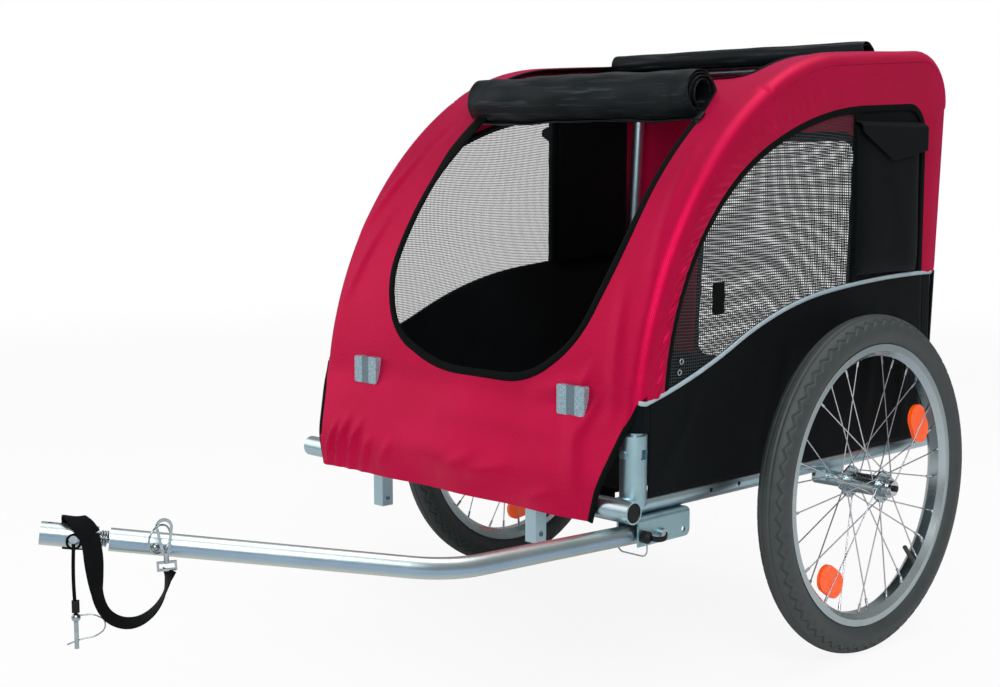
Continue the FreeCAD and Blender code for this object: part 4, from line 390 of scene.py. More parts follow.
cover = headingLine((hoop["front"], hoop["floor"]), 0, hoopRuns())
seamFront = cover["marks"][2]       # front cross bar
legMark = cover["marks"][5]         # top of the straight rear leg
reach = hoop["x"] + hoop["proud"] * math.pi / 2  # flat half width of the cloth, round both hoops
sideX = hoop["x"] + hoop["proud"]
edges = {"left": 1, "right": -1}
frontHalf = cover["s"] < seamFront
rearHalf = cover["s"] > legMark
roofHalf = cover["s"] < cover["marks"][4]
downRear = lambda z: np.interp(-np.asarray(z), -cover["z"][rearHalf], cover["s"][rearHalf])
upFront = lambda z: np.interp(z, cover["z"][frontHalf], cover["s"][frontHalf])
alongRoof = lambda y: np.interp(y, cover["y"][roofHalf], cover["s"][roofHalf])


apron = {"line": [(-496.0, 258.0), (-496.0, 300.0), (-491.0, 318.0)], "joins": 400.0, "blur": 7}


def frontLine():
    # front panel's outer line: the apron hangs before the front tube, then the cloth follows the hoop
    keep = (cover["z"] > apron["joins"]) & (cover["s"] <= seamFront)
    hooped = points(*(cover[key][keep] + hoop["proud"] * cover["n" + key][keep] for key in "yz"))
    line = resample(np.vstack([apron["line"], hooped]), 420)
    blur = apron["blur"]  # points on each side that a point is averaged with
    kernel = np.ones(2 * blur + 1) / (2 * blur + 1)
    padded = np.pad(line, ((blur, blur), (0, 0)), "edge")
    soft = np.stack([np.convolve(padded[:, i], kernel, "valid") for i in (0, 1)], -1)
    soft[:blur], soft[-blur:] = line[:blur], line[-blur:]
    way = alongPath(soft)
    return {"s": runAlong(soft), "y": soft[:, 0], "z": soft[:, 1], "ny": -way[:, 1], "nz": way[:, 0], "outer": True}


def onCover(line, flat, lift=0.0):
    # flat cloth point (a across, s along) to space: flat between the hoops, a quarter turn round each hoop
    a, s = flat[..., 0], flat[..., 1]
    past = np.clip(np.abs(a) - hoop["x"], 0, None) / hoop["proud"]
    x = np.sign(a) * (np.minimum(np.abs(a), hoop["x"]) + (hoop["proud"] + lift) * np.sin(past))
    out = (hoop["proud"] + lift) * np.cos(past) - (hoop["proud"] if line.get("outer") else 0)
    y, z, ny, nz = (np.interp(s, line["s"], line[key]) for key in ("y", "z", "ny", "nz"))
    return points(x, y + out * ny, z + out * nz)


def folds(flat, rows):
    # each fold is a soft ridge along a line from (a0, s0) to (a1, s1), fading at both ends
    a, s = flat[..., 0], flat[..., 1]
    total = np.zeros_like(a)
    for a0, s0, a1, s1, width, height in rows:
        da, ds = a1 - a0, s1 - s0
        run = da * da + ds * ds
        t = ((a - a0) * da + (s - s0) * ds) / run
        off = ((a - a0) * ds - (s - s0) * da) / math.sqrt(run)
        total += height * np.exp(-(off / width) ** 2) * np.clip(np.sin(np.pi * np.clip(t, 0, 1)), 0, 1)
    return total


def ringGrid(inner, outer, rows):
    # straight blend from an inner outline to an outer one
    t = (1 - np.cos(np.linspace(0, np.pi, rows))) / 2
    return inner[None] * (1 - t[:, None, None]) + outer[None] * t[:, None, None]


def polar(outline, centre, angles):
    # point of a star-shaped outline at each angle
    d = resample(outline, 4000, closed=True) - centre
    angle = np.arctan2(d[:, 1], d[:, 0])
    order = np.argsort(angle)
    angle, radius = angle[order], np.hypot(d[:, 0], d[:, 1])[order]
    r = np.interp(angles, np.concatenate([angle - 2 * np.pi, angle, angle + 2 * np.pi]), np.tile(radius, 3))
    return centre + points(r * np.cos(angles), r * np.sin(angles))


def ringAngles(outline, centre, count):
    # even angles, with one moved to each corner of the outline
    angles = np.linspace(-np.pi, np.pi, count, endpoint=False)
    for a, s in outline - centre:
        corner = math.atan2(s, a)
        angles[np.argmin(np.abs((angles - corner + np.pi) % (2 * np.pi) - np.pi))] = corner
    return np.sort(angles)


def roundCorners(route, share=0.45, steps=14):
    # each inner corner of an open line becomes a soft curve that leaves its two sides the same distance away
    line = [route[0]]
    t = np.linspace(0, 1, steps)[:, None]
    for before, corner, after in zip(route[:-2], route[1:-1], route[2:]):
        run = share * min(np.linalg.norm(corner - before), np.linalg.norm(after - corner))
        start, end = corner + unit(before - corner) * run, corner + unit(after - corner) * run
        line.extend(start * (1 - t) ** 2 + 2 * corner * t * (1 - t) + end * t ** 2)
    return np.array(line + [route[-1]])


def hoopWrap(name, side, inner, ends, counts, lift):
    # black cloth that turns round one hoop, from a line inside it to its flank
    sign = edges[side]
    flat = points(*np.meshgrid(sign * np.linspace(inner, reach, counts[0]), np.linspace(*ends, counts[1])))
    cloth = gridPiece(f"{name}_{side}", onCover(cover, flat, lift), blackCloth, flat, flip=sign < 0, thick=1.2)


# front panel with the door opening; the door's points are shares of its half width and of its height
frontPanel = {"hemHalf": 276.0, "trimHeight": 414.0, "trimHalf": 318.7, "rings": 40, "spokes": 420,
              "doorHalf": 248.0, "doorLow": 424.0, "doorHigh": 814.3, "doorMiddle": (20.0, 620.0),
              "sleeveHalf": 250.0, "sleeve": (373.0, 424.0),
              "door": [(-0.79, 1.0), (-0.83, 0.31), (-0.665, 0.108), (-0.24, 0.0), (0.485, 0.0), (0.825, 0.15),
                       (0.97, 0.45), (0.99, 0.92), (0.93, 1.0)],
              "folds": [(-268, -14, -256, 76, 5, 7), (-246, -12, -230, 86, 5.5, 9), (-222, -16, -200, 80, 5.5, 9),
                        (-192, -12, -172, 58, 6, 6), (-150, 10, -120, 60, 8, 3), (-20, 20, 60, 60, 9, 3),
                        (40, 30, 130, 52, 8, 3.5), (150, 5, 215, 30, 7, 3),
                        (-300, 250, -255, 420, 10, 4), (225, 90, 262, 180, 7, 3), (205, 120, 240, 215, 6, 2.5),
                        (-312, 360, -250, 560, 9, 4), (-280, 420, -245, 600, 8, -3), (-120, 60, 160, 30, 22, 3.5),
                        (-60, 120, 230, 105, 16, 2.5), (250, 20, 215, 150, 14, 4), (285, 120, 262, 330, 10, 3.5),
                        (60, 5, 240, 30, 10, 2.5), (305, 300, 275, 560, 9, 3), (120, 150, 262, 190, 12, 3)]}
front = frontLine()
frontTop = front["s"][-1]
heightAt = lambda z: np.interp(z, front["z"], front["s"])
door = np.array(frontPanel["door"]) * [frontPanel["doorHalf"], frontPanel["doorHigh"] - frontPanel["doorLow"]]
door = roundCorners(door + [0, frontPanel["doorLow"]])
doorLine = points(door[:, 0], heightAt(door[:, 1]))
trim = heightAt(frontPanel["trimHeight"])
panelEdge = np.array([(-frontPanel["hemHalf"], 0), (frontPanel["hemHalf"], 0), (frontPanel["trimHalf"], trim),
                      (reach, trim + 10), (reach, frontTop), (-reach, frontTop), (-reach, trim + 10),
                      (-frontPanel["trimHalf"], trim)], float)
doorMiddle = np.array(frontPanel["doorMiddle"])
doorMiddle[1] = heightAt(doorMiddle[1])
angles = ringAngles(np.vstack([panelEdge, doorLine[:1], doorLine[-1:]]), doorMiddle, frontPanel["spokes"])
doorEdge = polar(doorLine, doorMiddle, angles)
flat = ringGrid(doorEdge, polar(panelEdge, doorMiddle, angles), frontPanel["rings"])
a, s = flat[..., 0], flat[..., 1]
lift = folds(flat, frontPanel["folds"]) + 3 * np.sin(a / 27) * np.clip(1 - s / 50, 0, 1)  # wavy hem
slack = np.sin(a / 47 + 1 + s / 160) * np.sin(s / 61 - a / 210)
grid = onCover(front, flat, lift + 2.2 * slack * np.clip(1 - np.abs(a) / 300, 0, 1))
panel = gridPiece("red_front_panel", grid, redCloth, flat, closeCols=True, stands=["front_panel"], thick=1.6)
bound = resample(doorEdge, 420, closed=True)
nearTop = np.clip((bound[:, 1] - 470) / 60, 0, 1) * (bound[:, 0] < -60)  # more lining shows under the roll's right end
tapePiece("door_binding", onCover(front, bound, 0.5), [0, -1, 0.3], 4.5, 12, True, wider=1 + 1.1 * nearTop)
for side, sign in edges.items():  # black tape on the apron's slanted sides, and the black sleeve behind it
    s = np.linspace(0, trim - 3, 60)
    a = sign * np.interp(s, [0, trim], [frontPanel["hemHalf"], frontPanel["trimHalf"]])
    tapePiece(f"apron_edge_{side}", onCover(front, points(a, s)), [0, -1, 0], 4, 9)
    hoopWrap("black_sleeve", side, frontPanel["sleeveHalf"], upFront(frontPanel["sleeve"]), (30, 24), -0.8)
print("front panel ready")

# roof panel round its hatch, from the front bar to the rear seam
roofPanel = {"hatchHalf": 262.0, "hatchFront": -150.0, "hatchRear": 150.0, "split": 800.0,
             "folds": [(-300, 640, -280, 1000, 14, 2.5), (300, 640, 285, 1000, 14, 2.5), (-200, 960, 220, 975, 16, 3)]}
roofEnd = downRear(roofPanel["split"])
roofEdge = np.array([(-reach, seamFront), (reach, seamFront), (reach, roofEnd), (-reach, roofEnd)], float)
hatch = np.array([(-1, 0), (1, 0), (1, 1), (-1, 1)], float)
hatch = hatch * [roofPanel["hatchHalf"], alongRoof(roofPanel["hatchRear"]) - alongRoof(roofPanel["hatchFront"])]
hatch = hatch + [0, alongRoof(roofPanel["hatchFront"])]
hatchLine = resample(hatch, 600, closed=True)
for _ in range(6):
    hatchLine = (np.roll(hatchLine, 5, 0) + 2 * hatchLine + np.roll(hatchLine, -5, 0)) / 4
middle = hatch.mean(0)
angles = ringAngles(roofEdge, middle, 300)
hatchEdge = polar(hatchLine, middle, angles)
flat = ringGrid(hatchEdge, polar(roofEdge, middle, angles), 34)
grid = onCover(cover, flat, folds(flat, roofPanel["folds"]))
panel = gridPiece("red_roof_panel", grid, redCloth, flat, closeCols=True, stands=["roof_panel"], thick=1.6)
bound = resample(hatchEdge, 300, closed=True)
tapePiece("hatch_binding", onCover(cover, bound, 0.5), [0, 0, 1], 4, 10, True)

# reflective piping along each side, which parts the red cloth from the black
piping = {"start": (-474.0, 404.4), "heading": 78.9,
          "runs": [(996 * math.radians(13.2), -13.2), (718 * math.radians(18.2), 18.2), (2473 * math.radians(8), 8)],
          "rear": 245.0, "front": -441.5, "turnEnd": 319.0, "turnHeight": 411.2}
pipeLine = headingLine(piping["start"], piping["heading"], piping["runs"])
pipeHeight = lambda y: np.interp(y, pipeLine["y"], pipeLine["z"])

# rear panel round its window, red above the sockets and black below, with a notch over each
rearPanel = {"notch": 373.0, "notchHalf": 284.0, "windowHalf": 160.0, "windowLow": 365.0, "windowHigh": 763.0,
             "windowShare": 0.4844, "corner": 32.0, "redTop": 800.0, "blackTop": 374.0, "hem": 293.5, "turnTop": 547.0,
             "turnHalf": 308.0, "wrapHalf": 298.0, "wrap": (550.0, 373.5)}
windowLow, windowHigh = rearPanel["windowLow"], rearPanel["windowHigh"]
windowMiddle = (windowLow + windowHigh) / 2


def netWarp(uv):
    # net threads wander a few millimetres in slow waves
    u, v = uv[..., 0], uv[..., 1]
    return points(u + 3 * np.sin(v / 57) + 2 * np.sin(u / 43 + v / 71),
                  v + 3 * np.sin(u / 66) + 2 * np.sin(v / 49 - u / 83))


def steps(*ends):
    # levels about 7 mm apart between each pair of ends
    return np.concatenate([np.linspace(a, b, max(int(abs(b - a) / 7), 3)) for a, b in zip(ends[:-1], ends[1:])])


part, blackTop = rearPanel["windowShare"], rearPanel["blackTop"]
across = np.concatenate([np.linspace(-1, -part, 28), np.linspace(-part, part, 50), np.linspace(part, 1, 28)])
across = np.unique(across)
for name, material, ends in (("red_rear_panel", redCloth, (rearPanel["redTop"], windowHigh, blackTop)),
                             ("black_rear_panel", blackCloth, (blackTop, blackTop - 2, windowLow, rearPanel["hem"]))):
    levels = steps(*ends)
    levels = -np.unique(-levels)
    s = downRear(levels)
    wide = np.select([levels < rearPanel["notch"], levels < rearPanel["turnTop"]],
                     [rearPanel["notchHalf"] / reach, rearPanel["turnHalf"] / reach], 1.0)
    a = np.clip(across[None], -wide[:, None], wide[:, None]) * reach
    flat = points(a, s[:, None])
    sag = 2 * np.sin(a / 90 + 1) * np.sin((s[:, None] - s[0]) / (s[-1] - s[0]) * np.pi) * (np.abs(a) < 290)
    grid = onCover(cover, flat, sag)
    faces = gridFaces(*a.shape)
    mid = points(a, levels[:, None]).reshape(-1, 2)[faces].mean(1)
    inset = np.array([rearPanel["windowHalf"], (windowHigh - windowLow) / 2]) - rearPanel["corner"]
    off = np.abs(mid - [0, windowMiddle]) - inset
    inside = (np.hypot(*np.clip(off, 0, None).T) < rearPanel["corner"]) & (off.max(1) < rearPanel["corner"])
    faces = faces[~inside & (np.ptp(a.ravel()[faces], axis=1) > 0.1)]
    panel = meshPiece(name, grid.reshape(-1, 3), faces, material, flat.reshape(-1, 2), stands=["rear_panel"], thick=1.6)
for side in edges:  # the skirt's black turns round the rear hoop below the piping
    hoopWrap("black_corner", side, rearPanel["wrapHalf"], downRear(rearPanel["wrap"]), (24, 30), 0.7)
a, z = np.meshgrid(np.linspace(-1, 1, 40) * rearPanel["windowHalf"], np.linspace(windowHigh, windowLow, 50))
flat = points(a, downRear(z))
net = gridPiece("rear_window_net", onCover(cover, flat, -2.2), netThread, netWarp(flat), stands=["rear_panel"])
turn = np.linspace(0, 2 * np.pi, 240, endpoint=False)
circle = points(np.cos(turn), np.sin(turn))
frameLine = resample(np.sign(circle) * inset + rearPanel["corner"] * circle, 240, closed=True)
flat = points(frameLine[:, 0], downRear(frameLine[:, 1] + windowMiddle))
tapePiece("rear_window_binding", onCover(cover, flat, 0.5), [0, 1, 0], 4.2, 17, True)
print("roof and rear panels ready")

# side cloth, one plane each side: band along the hoop, skirt below the piping, window net and backing
window = {"start": (-403.0, 400.0), "runs": [(375 * math.radians(64.5), 64.5), (618 * math.radians(23), 23)],
          "corner": 42.0, "rear": 212.0, "netFront": -402.0, "netRear": {"left": 25.0, "right": 50.0}, "netTop": 806}
skirtCut = {"ends": (-445.5, -434.0, 220.0, 242.5), "columns": (8, 110, 8), "notch": 373.0,
            "folds": [(-410, 300, -330, 420, 12, 2.5), (-180, 296, -120, 470, 16, 2.5), (60, 296, 90, 520, 14, 2),
                      (180, 300, 150, 520, 14, 2)]}
windowTurn = sum(turn for _, turn in window["runs"])
bare = headingLine(window["start"], 0, window["runs"])
cornerRun = (window["corner"] * math.radians(180 - windowTurn), 180 - windowTurn)
cornerReach = headingLine((0, 0), windowTurn, [cornerRun])["y"][-1]
topRun = (window["rear"] - cornerReach - bare["y"][-1]) / math.sin(math.radians(windowTurn))
windowLine = headingLine(window["start"], 0, window["runs"] + [(topRun, 0), cornerRun, (320.0, 0)])
windowYZ, coverYZ = (points(line["y"], line["z"]) for line in (windowLine, cover))
windowYZ, coverYZ = (yz[yz[:, 1] > pipeHeight(yz[:, 0])] for yz in (windowYZ, coverYZ))
crown = resample(windowYZ, 500)
crown = crown[: np.argmax(crown[:, 0])]
for side, sign in edges.items():
    inner, outer = resample(windowYZ, 520), resample(coverYZ, 520)  # equal shares of both lines
    t = np.linspace(0, 1, 26)[:, None]
    v = np.linspace(0, 1, 520)[None]
    yz = inner[None] * (1 - t[..., None]) + outer[None] * t[..., None]
    gather = np.sin(2 * np.pi * (v * 62 + 2.6 * t)) + 0.6 * np.sin(2 * np.pi * (v * 37 + 1.9 * t))
    pucker = 1.9 * gather * np.exp(-((t - 0.4) / 0.2) ** 2) * np.clip(1.25 - 2.4 * v, 0, 1)
    x = sign * (sideX - 0.4 + pucker * np.clip((t - 0.1) * 8, 0, 1) + 1.5 * np.sin(np.pi * t))
    grid = np.concatenate([np.broadcast_to(x, yz.shape[:2])[..., None], yz], -1)
    band = gridPiece(f"red_side_band_{side}", grid, redCloth, yz, flip=sign > 0, stands=["side_bands"], thick=1.6)
    seam = resample(points(sign * (sideX + 0.2), *coverYZ.T), 420)
    sweepPiece(f"red_seam_{side}", seam, [sign, 0, 0], roundSection(2.4, 2.6), redCord)
    # skirt from the hem to the piping in three runs of columns, with true steps over both sockets
    ends, columns = skirtCut["ends"], skirtCut["columns"]
    y = np.concatenate([np.linspace(*pair) for pair in zip(ends[:-1], ends[1:], columns)])
    bottom = np.repeat([skirtCut["notch"], hoop["floor"] - 5, skirtCut["notch"]], columns)
    t = np.linspace(0, 1, 40)[:, None]
    z = bottom * (1 - t) + (pipeHeight(y) + 3) * t
    puff = 2.2 * np.sin(np.pi * t) * np.sin(y / 120 + 0.6) + folds(points(y, z), skirtCut["folds"])
    grid = points(sign * (sideX - 0.4 + puff), y, z)
    faces = gridFaces(*z.shape, flip=sign < 0)
    faces = faces[np.ptp(grid[..., 1].ravel()[faces], axis=1) > 0.1]
    skirt = meshPiece(f"black_skirt_{side}", grid.reshape(-1, 3), faces, blackCloth, grid[..., 1:].reshape(-1, 2),
                      stands=["side_skirts"], thick=1.6)
    # net in front, black backing behind the pocket
    netRear = window["netRear"][side]
    for name, y0, y1, material, count, thick in (
            ("window_net", window["netFront"], netRear, netThread, 90, 0),
            ("window_backing", netRear, window["rear"] - 1, blackCloth, 50, 1.2)):
        y = np.linspace(y0, y1, count)
        up = np.interp(y, crown[:, 0], crown[:, 1])
        low = np.minimum(pipeHeight(y), up - 0.5)
        t = np.linspace(0, 1, 60)[:, None]
        depth = sideX - 1.6 - 3 * np.sin(np.pi * t) * np.sin(np.pi * (y - y0) / (y1 - y0))
        grid = points(sign * depth, y, low * (1 - t) + up * t)
        uv = grid[..., 1:]
        if material is netThread:
            uv = netWarp(uv) * (1.0 if sign > 0 else 1.5)  # the far net shows finer
        piece = gridPiece(f"{name}_{side}", grid, material, uv, flip=sign < 0, stands=["window_nets"], thick=thick)
    frameLine = resample(points(sign * (sideX + 0.4), *windowYZ.T), 420)
    tapePiece(f"window_binding_{side}", frameLine, [sign, 0, 0], 3, 12)
    y = np.linspace(piping["rear"], piping["front"], 240)
    a = sign * np.linspace(reach, piping["turnEnd"], 12)[1:]
    past = (np.abs(a) - hoop["x"]) / hoop["proud"]  # turn round the front hoop
    line = np.concatenate([points(sign * (sideX + 0.8), y, pipeHeight(y)),
                           onCover(cover, points(a, upFront(piping["turnHeight"])), 0.8)])
    out = np.concatenate([points(sign, 0 * y, 0), points(sign * np.sin(past), -np.cos(past), 0)])
    sweepPiece(f"side_piping_{side}", line, out, roundSection(4, 6.5), pipingTape)
    strip = points(sign * (sideX + 0.2), netRear, np.linspace(pipeHeight(netRear), window["netTop"], 40))
    tapePiece(f"net_edge_{side}", strip, [sign, 0, 0], 2.4, 12)
print("side cloth ready")

# pockets: crowned bags sewn to the backing, each under a pointed flap
pocket = {"front": {"left": 22.0, "right": 46.0}, "rear": 197.0, "low": 550.0, "high": 778.0, "depth": 14.6,
          "face": 320.7, "hinge": 322.4, "flapTop": 781.0, "flapOut": 338.3, "hang": 3.0,
          "drops": [(0, 16), (0.46, 59), (1, 44)]}
for side, sign in edges.items():
    first, last = pocket["front"][side], pocket["rear"]
    u, v = np.meshgrid(np.linspace(-1, 1, 64), np.linspace(-1, 1, 80))
    crowned = (1 - np.abs(u) ** 6) ** 0.4 * (1 - np.abs(v) ** 8) ** 0.4
    sag = 0.86 + 0.13 * np.exp(-((v + 0.5) / 0.5) ** 2) - 0.05 * u * v
    crease = 0.8 * np.sin(5 * u + 3 * v) * np.exp(-((u - 0.2) / 0.5) ** 2) * crowned - 0.8 * crowned
    y = (first + last) / 2 + u * (last - first) / 2 * (1 - 0.03 * np.cos(v * 1.4))
    z = (pocket["low"] + pocket["high"]) / 2 + v * (pocket["high"] - pocket["low"]) / 2 * (1 - 0.02 * np.cos(u * 1.5))
    face = points(sign * (pocket["face"] + pocket["depth"] * crowned * sag + crease), y, z)
    verts = np.concatenate([face, points(sign * pocket["face"], y, z)]).reshape(-1, 3)
    faces = np.concatenate([gridFaces(*u.shape, flip=sign < 0), gridFaces(*u.shape, flip=sign > 0) + u.size])
    bag = meshPiece(f"pocket_bag_{side}", verts, faces, blackCloth, verts[:, 1:], stands=[f"pocket_{side}"])
    weld = bag.modifiers.new("seam", "WELD")
    weld.merge_threshold = 0.2 * mm
    # flap: the later half of a quarter turn out from the hinge, so that it clears the binding, then down to the point
    u, v = np.meshgrid(np.linspace(0, 1, 60), np.linspace(0, 1, 40))
    drop = np.interp(u, *np.array(pocket["drops"]).T)
    diagonal = math.sqrt(0.5)
    turn = (1 + np.clip(v / 0.4, 0, 1)) * np.pi / 4
    out = (np.sin(turn) - diagonal) / (1 - diagonal)
    x = pocket["hinge"] + 0.6 + (pocket["flapOut"] - pocket["hinge"] - 0.8) * out - 0.3 * np.sin(9 * u) * v
    bent = pocket["flapTop"] - 1 - 9 * (1 - np.cos(turn) / diagonal)
    z = np.where(v < 0.4, bent, pocket["flapTop"] - 10 - (drop - 10) * (v - 0.4) / 0.6)
    y = first - pocket["hang"] + u * (last - first + 2 * pocket["hang"])
    grid = points(sign * x, y, z)
    flap = gridPiece(f"pocket_flap_cloth_{side}", grid, blackCloth, grid[..., 1:], flip=sign > 0, body=f"flap_{side}",
                     stands=[f"pocket_flap_{side}"], thick=1.4)
print("pockets ready")

# rolled-up flaps: one sheet wound on itself, radius falling evenly with the turn, each layer ending differently
rolls = {"front": {"radius": 38.5, "ends": (-222.0, 238.0), "turns": 4, "pitch": 4.7, "loose": 0.03, "lift": -1.0},
         "roof": {"radius": 17.5, "ends": (-266.0, 266.0), "turns": 2, "pitch": 5.0, "loose": 0.02, "lift": 5.0}}
for name, roll in rolls.items():
    node = f"{name}_flap_roll"
    low, high = (np.array(corner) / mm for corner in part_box(node))
    cy, cz = (low[1] + high[1]) / 2, (low[2] + high[2]) / 2 + roll["lift"]
    half, middle = (roll["ends"][1] - roll["ends"][0]) / 2, sum(roll["ends"]) / 2
    turn = np.linspace(0, roll["turns"] * 2 * np.pi, roll["turns"] * 56)
    share = np.linspace(-1, 1, 200)
    ending = half - 5 + 5 * np.sin(turn * 0.8 + 2) - 4 * turn / turn[-1]
    x = share[None] * ending[:, None]
    r = roll["radius"] - roll["pitch"] * turn / (2 * np.pi)
    start = (turn - 0.6 * np.pi)[:, None]
    wave = np.sin(x / 47 + start) + 0.7 * np.sin(x / 21 + 3 * start) + 0.5 * np.sin(x / 13 - 2 * start)
    wave = wave + 0.35 * np.sin(x / 31 + 9 * start) * np.sin(x / 80 + 1)
    flare = np.clip((np.abs(x) - half + 40) / 40, 0, 1) * np.sin(start + 0.8) * 0.05
    wave = wave + 0.6 * np.clip((np.abs(x) - half + 55) / 55, 0, 1) * np.sin(x / 5.5 + 2 * start)
    radius = r[:, None] * (1 - 2 * roll["loose"] + roll["loose"] * wave - np.abs(flare)) - 0.4
    grid = points(middle + x, cy + radius * np.cos(start), cz + radius * np.sin(start))
    wound = np.cumsum(r * (turn[1] - turn[0]))
    flat = points(x, wound[:, None])
    piece = gridPiece(f"{name}_rolled_flap", grid, rolledCloth, flat, stands=[node], thick=1.4)
doorRoot = {"ends": (-200.0, 234.0), "sag": 6.0}  # cloth from the door's top into the roll
x, t = np.meshgrid(np.linspace(*doorRoot["ends"], 80), np.linspace(0, 1, 16))
low, high = (np.array(corner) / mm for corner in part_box("front_flap_roll"))
y = (1 - t) * (front["y"][-1] + 2) + t * (high[1] + low[1] + 40) / 2
z = (1 - t) * (front["z"][-1] - 3) + t * (low[2] + 2) - doorRoot["sag"] * np.sin(np.pi * t)
grid = points(x, y, z)
flap = gridPiece("door_flap_root", grid, rolledCloth, points(x, 40 * t), thick=1.4)
print("rolled flaps ready")

# wheels: tyre section carried round the axle, a zigzag groove along each shoulder and two rings on the crown
tyre = {"centre": 226.5, "section": 23.5, "height": 250.0, "track": 371.0, "blocks": 64, "groove": 2.2,
        "swing": 11.0, "shoulder": 50.0}
turn = np.linspace(0, 2 * np.pi, 960, endpoint=False)
section = np.concatenate([np.linspace(84, 148, 9), np.linspace(28, 82, 31), np.linspace(3, 26, 10)])
section = np.sort(np.concatenate([section, -section]))
phase = (turn * tyre["blocks"] / (2 * np.pi)) % 1
swing = tyre["swing"] * (4 * np.abs(phase - 0.5) - 1)
off = np.abs(section)[None] - tyre["shoulder"] - swing[:, None]
zigzag = np.exp(-(off / 3.4) ** 4)
ring = np.exp(-((np.abs(section) - 15) / 3.2) ** 2)[None]
tooth = np.exp(-((phase[:, None] - 0.5) / 0.08) ** 2) * np.exp(-((np.abs(section)[None] - 71) / 9) ** 4)
r = tyre["section"] - tyre["groove"] * np.maximum(np.maximum(zigzag, 0.6 * ring), 0.8 * tooth)
bend = np.radians(section)[None]
for side, sign in edges.items():
    out = tyre["centre"] + r * np.cos(bend)
    grid = points(sign * tyre["track"] + r * np.sin(bend), out * np.cos(turn)[:, None],
                  tyre["height"] + out * np.sin(turn)[:, None])
    gridPiece(f"treaded_tyre_{side}", grid, tyreRubber, closeRows=True, body=f"wheel_{side}", stands=[f"tyre_{side}"])
print("tyres ready")

# strap, lanyard and keeper on the tow bar; places are (out, up, back) from the stub's tip, in the bar's own frame
tip = np.array([60.0, -1152.0, 317.0])
ahead = unit(tip - np.array([306.0, -769.0, 250.0]))
outboard = unit(np.cross([0, 0, 1], ahead))
upward = np.cross(ahead, outboard)


def barSpot(out, up, back):
    return tip + outboard * out + upward * up - ahead * back


def barRing(radius, degrees, back):
    # place at an angle round the bar's own line, counted from outboard
    return barSpot(radius * math.cos(math.radians(degrees)), radius * math.sin(math.radians(degrees)), back)


def splinePath(route, count):
    # smooth line with the route's points as its control points
    curve = bpy.data.curves.new("route", "CURVE")
    curve.dimensions = "3D"
    curve.resolution_u = 24
    spline = curve.splines.new("NURBS")
    spline.points.add(len(route) - 1)
    spline.points.foreach_set("co", points(*np.transpose(route) * mm, 1.0).ravel())
    spline.order_u = 3
    spline.use_endpoint_u = True
    holder = bpy.data.objects.new("route", curve)
    mesh = bpy.data.meshes.new_from_object(holder)
    co = np.zeros(len(mesh.vertices) * 3)
    mesh.vertices.foreach_get("co", co)
    bpy.data.objects.remove(holder)
    bpy.data.meshes.remove(mesh)
    bpy.data.curves.remove(curve)
    return resample(co.reshape(-1, 3) / mm, count)


strap = {"route": [(14.8, 6, 53), (21, -6, 57.5), (25, -22, 61.5), (24, -44, 66), (21.5, -64, 71), (20.5, -81, 82),
                   (20.5, -88, 99), (21.5, -85, 116), (22.5, -73, 130), (23, -58, 138.5), (23.5, -42, 142),
                   (23.5, -22, 142.5)],
         "twist": [(0, 0), (0.1, 0), (0.2, 28), (0.32, 58), (0.44, 66), (0.6, 69), (0.76, 80), (0.875, 88), (0.95, 72),
                   (1, 45)],
         "wrap": [(-80, 14.2, 37), (-140, 14.2, 36), (-200, 14.4, 34), (-240, 18, 32), (-265, 22.5, 32), (-295, 20, 41),
                  (-322, 17.8, 49), (-342, 16.4, 54)],
         "width": 21.0, "wrapWidth": 24.0, "thick": 1.9, "join": 150.0, "bend": ((20, -60, 69), (20, -60, 127))}
path = splinePath([barSpot(*spot) for spot in strap["route"]], 110)
twist = np.radians(np.interp(np.linspace(0, 1, 110), *np.array(strap["twist"]).T))[:, None]
inPlane = unit(np.cross(alongPath(path), outboard))
width = inPlane * np.cos(twist) + outboard * np.sin(twist)
run = runAlong(path)
cut = int(np.searchsorted(run, strap["join"]))
ribbon = roundSection(strap["width"], strap["thick"], 16, 5)
band, tail = (sweepPiece(name, path[part], width[part], ribbon, webbing, body=None, stands=["safety_strap"])
              for name, part in (("strap_webbing", slice(cut + 1)), ("strap_tail", slice(cut - 1, None))))
first, last = (metres(barSpot(*spot)) for spot in strap["bend"])
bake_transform(band)
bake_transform(tail)
wrapLine = splinePath([barRing(radius, degrees, back) for degrees, radius, back in strap["wrap"]], 70)
wrap = sweepPiece("strap_wrap", wrapLine, -ahead, roundSection(strap["wrapWidth"], strap["thick"], 16, 5), webbing,
                  body="hitch")

coil = {"radius": 8.2, "wire": 2.2, "turns": 3.25, "middle": 68.3, "run": 9.2, "join": -0.2}
turn = np.linspace(-0.5, 0.5, 241)
helix = np.array([barRing(coil["radius"], 360 * coil["turns"] * k, coil["middle"] + coil["run"] * k) for k in turn])
wireRound = roundSection(coil["wire"], coil["wire"], 12)
cut = int(np.searchsorted(turn, coil["join"]))
for name, part, pair, ends in (("spring_front", helix[:cut + 1], ("hitch", "coupling"), (-0.5, coil["join"])),
                               ("spring_rear", helix[cut:], ("coupling", "trailer"), (coil["join"], 0.5))):
    half = sweepPiece(name, part, ahead, wireRound, brightSteel, body=None, stands=["coupling_spring"])
    first, last = (metres(barSpot(0, 0, coil["middle"] + coil["run"] * k)) for k in ends)
    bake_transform(half)

